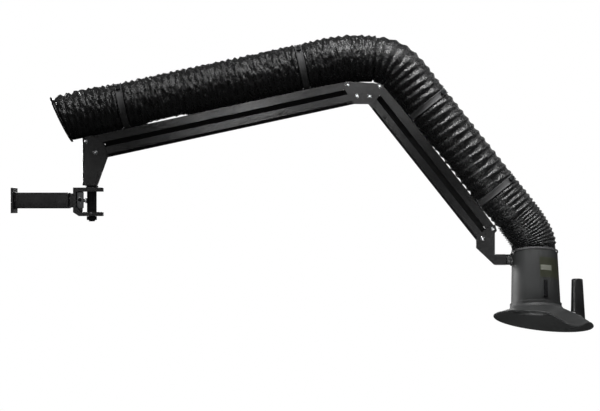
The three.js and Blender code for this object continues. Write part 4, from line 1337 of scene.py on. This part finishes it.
def gas_struts():
    for prefix, place, start, body_end, end in STRUTS:
        line = place @ Matrix.Translation((0, 0, STRUT_DROP)) @ ALONG["x"]
        body_start = start + STRUT_EYE_GAP
        sleeve = body_end - STRUT_SLEEVE
        body_line = (
            (0.0, body_start),
            (STRUT_RADIUS, body_start),
            (STRUT_RADIUS, body_end),
            (ROD_BORE, body_end),
            (ROD_BORE, sleeve),
            (0.0, sleeve),
        )
        rod_line = oblong(0.0, ROD_RADIUS, sleeve + ROD_END_GAP, end - ROD_END_GAP)
        tube = lathed("tube", body_line, DARK_STEEL, line, radius=0.0012, sides=40)
        rod = lathed("rod", rod_line, ZINC, line, radius=0.0006, sides=32)
        for label, half, at in (("cylinder", tube, start), ("rod", rod, end)):
            across = cross_place(place, at)
            eye = lathed("eye", EYE_LINE, DARK_STEEL, across, radius=0.0008, sides=32, looped=True)
            dress("gas", f"{prefix}_strut_{label}", half, eye)
        for label, at in (("fixed", start), ("rod", end)):
            across = cross_place(place, at)
            shapes = [lathed("pin", PIN_LINE, BLACK_PAINT, across, radius=0.0007, sides=24)]
            shapes += [
                lathed("clip", clip_line, BLACK_PAINT, across, radius=0.0002, sides=32, looped=True, steps=2)
                for clip_line in CLIP_LINES
            ]
            dress("clipped", f"{prefix}_strut_{label}_pin", *shapes)


# Slewing column with its bushes, nut and brake
SLEW_X = PIVOT["slew"].x
SLEW_PLACE = Matrix.Translation((SLEW_X, 0, 0))
COLUMN_RADIUS = 0.0165
COLUMN_TOP = 0.062
COLUMN_BOTTOM = -0.071
COLUMN_FLANGE = 0.022
COLUMN_FLANGE_THICK = 0.006
LUG_TOP = 0.044
LUG_BOTTOM = -0.053
LUG_THICK = 0.014
BUSH_INNER = 0.0169
BUSH_OUTER = 0.0199
BUSHES = (
    ("upper_column_bush", LUG_TOP - LUG_THICK, LUG_TOP),
    ("lower_column_bush", LUG_BOTTOM, LUG_BOTTOM + LUG_THICK),
)
STUB_RADIUS = 0.011
STUB_CHAMFER = 0.002
NUT_RADIUS = 0.019
NUT_THICK = 0.013
NUT_FACE = NUT_RADIUS * 0.88
NUT_CHAMFER = 0.0020
BRAKE_SCREW = 0.006
FIT = 0.0004


def slewing_parts():
    flange_low = LUG_TOP + FIT
    flange_high = flange_low + COLUMN_FLANGE_THICK
    column_line = (
        (0.0, COLUMN_BOTTOM),
        (STUB_RADIUS - STUB_CHAMFER, COLUMN_BOTTOM),
        (STUB_RADIUS, COLUMN_BOTTOM + STUB_CHAMFER),
        (STUB_RADIUS, LUG_BOTTOM),
        (COLUMN_RADIUS, LUG_BOTTOM),
        (COLUMN_RADIUS, flange_low),
        (COLUMN_FLANGE, flange_low),
        (COLUMN_FLANGE, flange_high),
        (COLUMN_RADIUS, flange_high),
        (COLUMN_RADIUS, COLUMN_TOP),
        (0.0, COLUMN_TOP),
    )
    dress("turned", "slew_column", lathed("column", column_line, DARK_STEEL, SLEW_PLACE, radius=0.0007))
    top = LUG_BOTTOM - FIT
    low = top - NUT_THICK
    nut_rings = (
        (STUB_RADIUS + FIT, top),
        (NUT_FACE, top),
        (NUT_RADIUS, top - NUT_CHAMFER, True),
        (NUT_RADIUS, low + NUT_CHAMFER, True),
        (NUT_FACE, low),
        (STUB_RADIUS + FIT, low),
    )
    dress("chamfered", "column_nut", ringed("nut", nut_rings, DARK_STEEL, SLEW_PLACE, looped=True))
    for cad_name, start, end in BUSHES:
        bush_line = oblong(BUSH_INNER, BUSH_OUTER, start, end)
        bush = lathed("bush", bush_line, BRONZE, SLEW_PLACE, radius=0.0008, looped=True)
        dress("chamfered", cad_name, bush)
    low_end, high_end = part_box("slew_brake_screw")
    screw_line = oblong(0.0, BRAKE_SCREW, low_end[0], high_end[0])
    screw = lathed("screw", screw_line, ZINC, ALONG["x"], radius=0.0009, sides=32)
    dress("turned", "slew_brake_screw", screw)


# Bracket trim: weld seams, plates beside the brake, grease nipple
WELD_RADIUS = 0.0023
WELD_STEP = 0.0026
WELD_CREASE = 80
WELD_ARC_STEPS = 7
# Each seam's distance from the wall, half width and half height
WELDS = ((0.0088, 0.0274, 0.0274), (0.1930, 0.0214, 0.0244))
GUARD_X = (0.2175, 0.2395)
GUARD_Y = (0.0112, 0.0136)
GUARD_Z = (-0.026, 0.0296)
GUARD_SCREW = 0.0064
GUARD_SCREW_HIGH = 0.003
NIPPLE_Z = -0.043
NIPPLE_LINE = (
    (0.0, -0.001),
    (0.0042, -0.001),
    (0.0042, 0.003),
    (0.0022, 0.003),
    (0.0022, 0.005),
    (0.0031, 0.006),
    (0.0024, 0.0085),
    (0.0, 0.0085),
)
FORK_HALF = 0.027
TO_FRONT = Matrix.Rotation(math.pi / 2, 4, "X")


def weld_points(along, half_wide, half_tall):
    """Points at even steps round a rectangle across the tube."""
    corners = [
        Vector((along, across * half_wide, up * half_tall))
        for across, up in ((-1, -1), (1, -1), (1, 1), (-1, 1), (-1, -1))
    ]
    points = []
    for start, end in zip(corners, corners[1:]):
        count = round((end - start).length / WELD_STEP)
        points += [start.lerp(end, step / count) for step in range(count)]
    return points


def bracket_trim():
    angles = np.linspace(-math.pi / 2, math.pi / 2, WELD_ARC_STEPS)[1:-1]
    bead_profile = [(WELD_RADIUS * math.cos(angle), WELD_RADIUS * math.sin(angle)) for angle in angles]
    bead_profile = [(0.0, -WELD_RADIUS), *bead_profile, (0.0, WELD_RADIUS)]
    bead = turned("bead", bead_profile, BLACK_PAINT, sides=10)
    points = [point for weld in WELDS for point in weld_points(*weld)]
    add_to(repeat("weld_seams", bead, points, WELD_CREASE), "wall_bracket")

    plates = []
    screws = []
    middle = Matrix.Translation((sum(GUARD_X) / 2, 0, sum(GUARD_Z) / 2))
    screw_line = oblong(0.0, GUARD_SCREW, GUARD_Y[1], GUARD_Y[1] + GUARD_SCREW_HIGH)
    for side, turn in ((-1, TO_FRONT), (1, ALONG["y"])):
        near, far = sorted(side * reach for reach in GUARD_Y)
        corners = zip(GUARD_X, (near, far), GUARD_Z)
        plates.append(rounded_block("plate", *corners, ZINC, radius=0.0008))
        screws.append(lathed("screw", screw_line, DARK_STEEL, middle @ turn, radius=0.0009, sides=32))
    add_to(joined("brake_guard_plates", *plates), "wall_bracket")
    add_to(joined("brake_guard_screws", *screws), "wall_bracket")

    nipple_place = Matrix.Translation((SLEW_X, -FORK_HALF, NIPPLE_Z)) @ TO_FRONT
    nipple = lathed("nipple", NIPPLE_LINE, ZINC, nipple_place, radius=0.0004, sides=24)
    add_to(joined("grease_nipple", nipple), "wall_bracket")


# Cuff at the hose's open end, with the saddle that carries it
CUFF_INNER = 0.0740
CUFF_OUTER = 0.0845
CUFF_HALF = 0.004
CUFF_ALONG = -0.066
SADDLE_START = -0.050
SADDLE_END = -0.003
SADDLE_ARM_END = 0.018
SADDLE_HALF = 0.0235
SADDLE_ARM_INNER = 0.0164
SADDLE_LOW = UPPER_BAR_TOP + 0.0012
SADDLE_HIGH = SADDLE_LOW + 0.0026
# The saddle's plate and its two arms: end and both sides
SADDLE_BLOCKS = (
    (SADDLE_END, -SADDLE_HALF, SADDLE_HALF),
    (SADDLE_ARM_END, -SADDLE_HALF, -SADDLE_ARM_INNER),
    (SADDLE_ARM_END, SADDLE_ARM_INNER, SADDLE_HALF),
)


def inlet_cuff():
    middle = UPPER_PLACE @ Matrix.Translation((CUFF_ALONG, 0, INLET_LIFT))
    place = middle @ Matrix.Rotation(-INLET_TURN, 4, "Y") @ ALONG["x"]
    ring_line = oblong(CUFF_INNER, CUFF_OUTER, -CUFF_HALF, CUFF_HALF)
    parts = [lathed("ring", ring_line, BLACK_PAINT, place, radius=0.0020, sides=96, looped=True)]
    for end, left, right in SADDLE_BLOCKS:
        corners = (SADDLE_START, left, SADDLE_LOW), (end, right, SADDLE_HIGH)
        parts.append(rounded_block("saddle", *corners, BLACK_PAINT, UPPER_PLACE, radius=0.0010))
    dress("rolled", "inlet_cuff", *parts)


# Bolt that carries the hood on the hanger
HOOD_BOLT = 0.007
HOOD_BOLT_CHAMFER = 0.0012
HOOD_BOLT_HEAD = 0.011
HOOD_BOLT_HEAD_LONG = 0.009
HOOD_BOLT_FACE = HOOD_BOLT_HEAD * 0.84
HOOD_BOLT_FACE_DEEP = 0.0014


def hood_bolt():
    low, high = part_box("hood_pivot_bolt")
    head_end = low[0] + HOOD_BOLT_HEAD_LONG
    rings = (
        (0.0, low[0]),
        (HOOD_BOLT_FACE, low[0]),
        (HOOD_BOLT_HEAD, low[0] + HOOD_BOLT_FACE_DEEP, True),
        (HOOD_BOLT_HEAD, head_end, True),
        (HOOD_BOLT, head_end),
        (HOOD_BOLT, high[0] - HOOD_BOLT_CHAMFER),
        (HOOD_BOLT - HOOD_BOLT_CHAMFER, high[0]),
        (0.0, high[0]),
    )
    place = Matrix.Translation((0, 0, HOOD_CENTRE.z)) @ ALONG["x"]
    dress("hexagon", "hood_pivot_bolt", ringed("bolt", rings, ZINC, place))


studio()
hose()
rounded_parts()
pivot_bolts()
hose_straps()
shade_strips()
nozzle()
blank_films()
hose_collar()
grip(flange())
damper_blade()
gas_struts()
slewing_parts()
bracket_trim()
inlet_cuff()
hood_bolt()
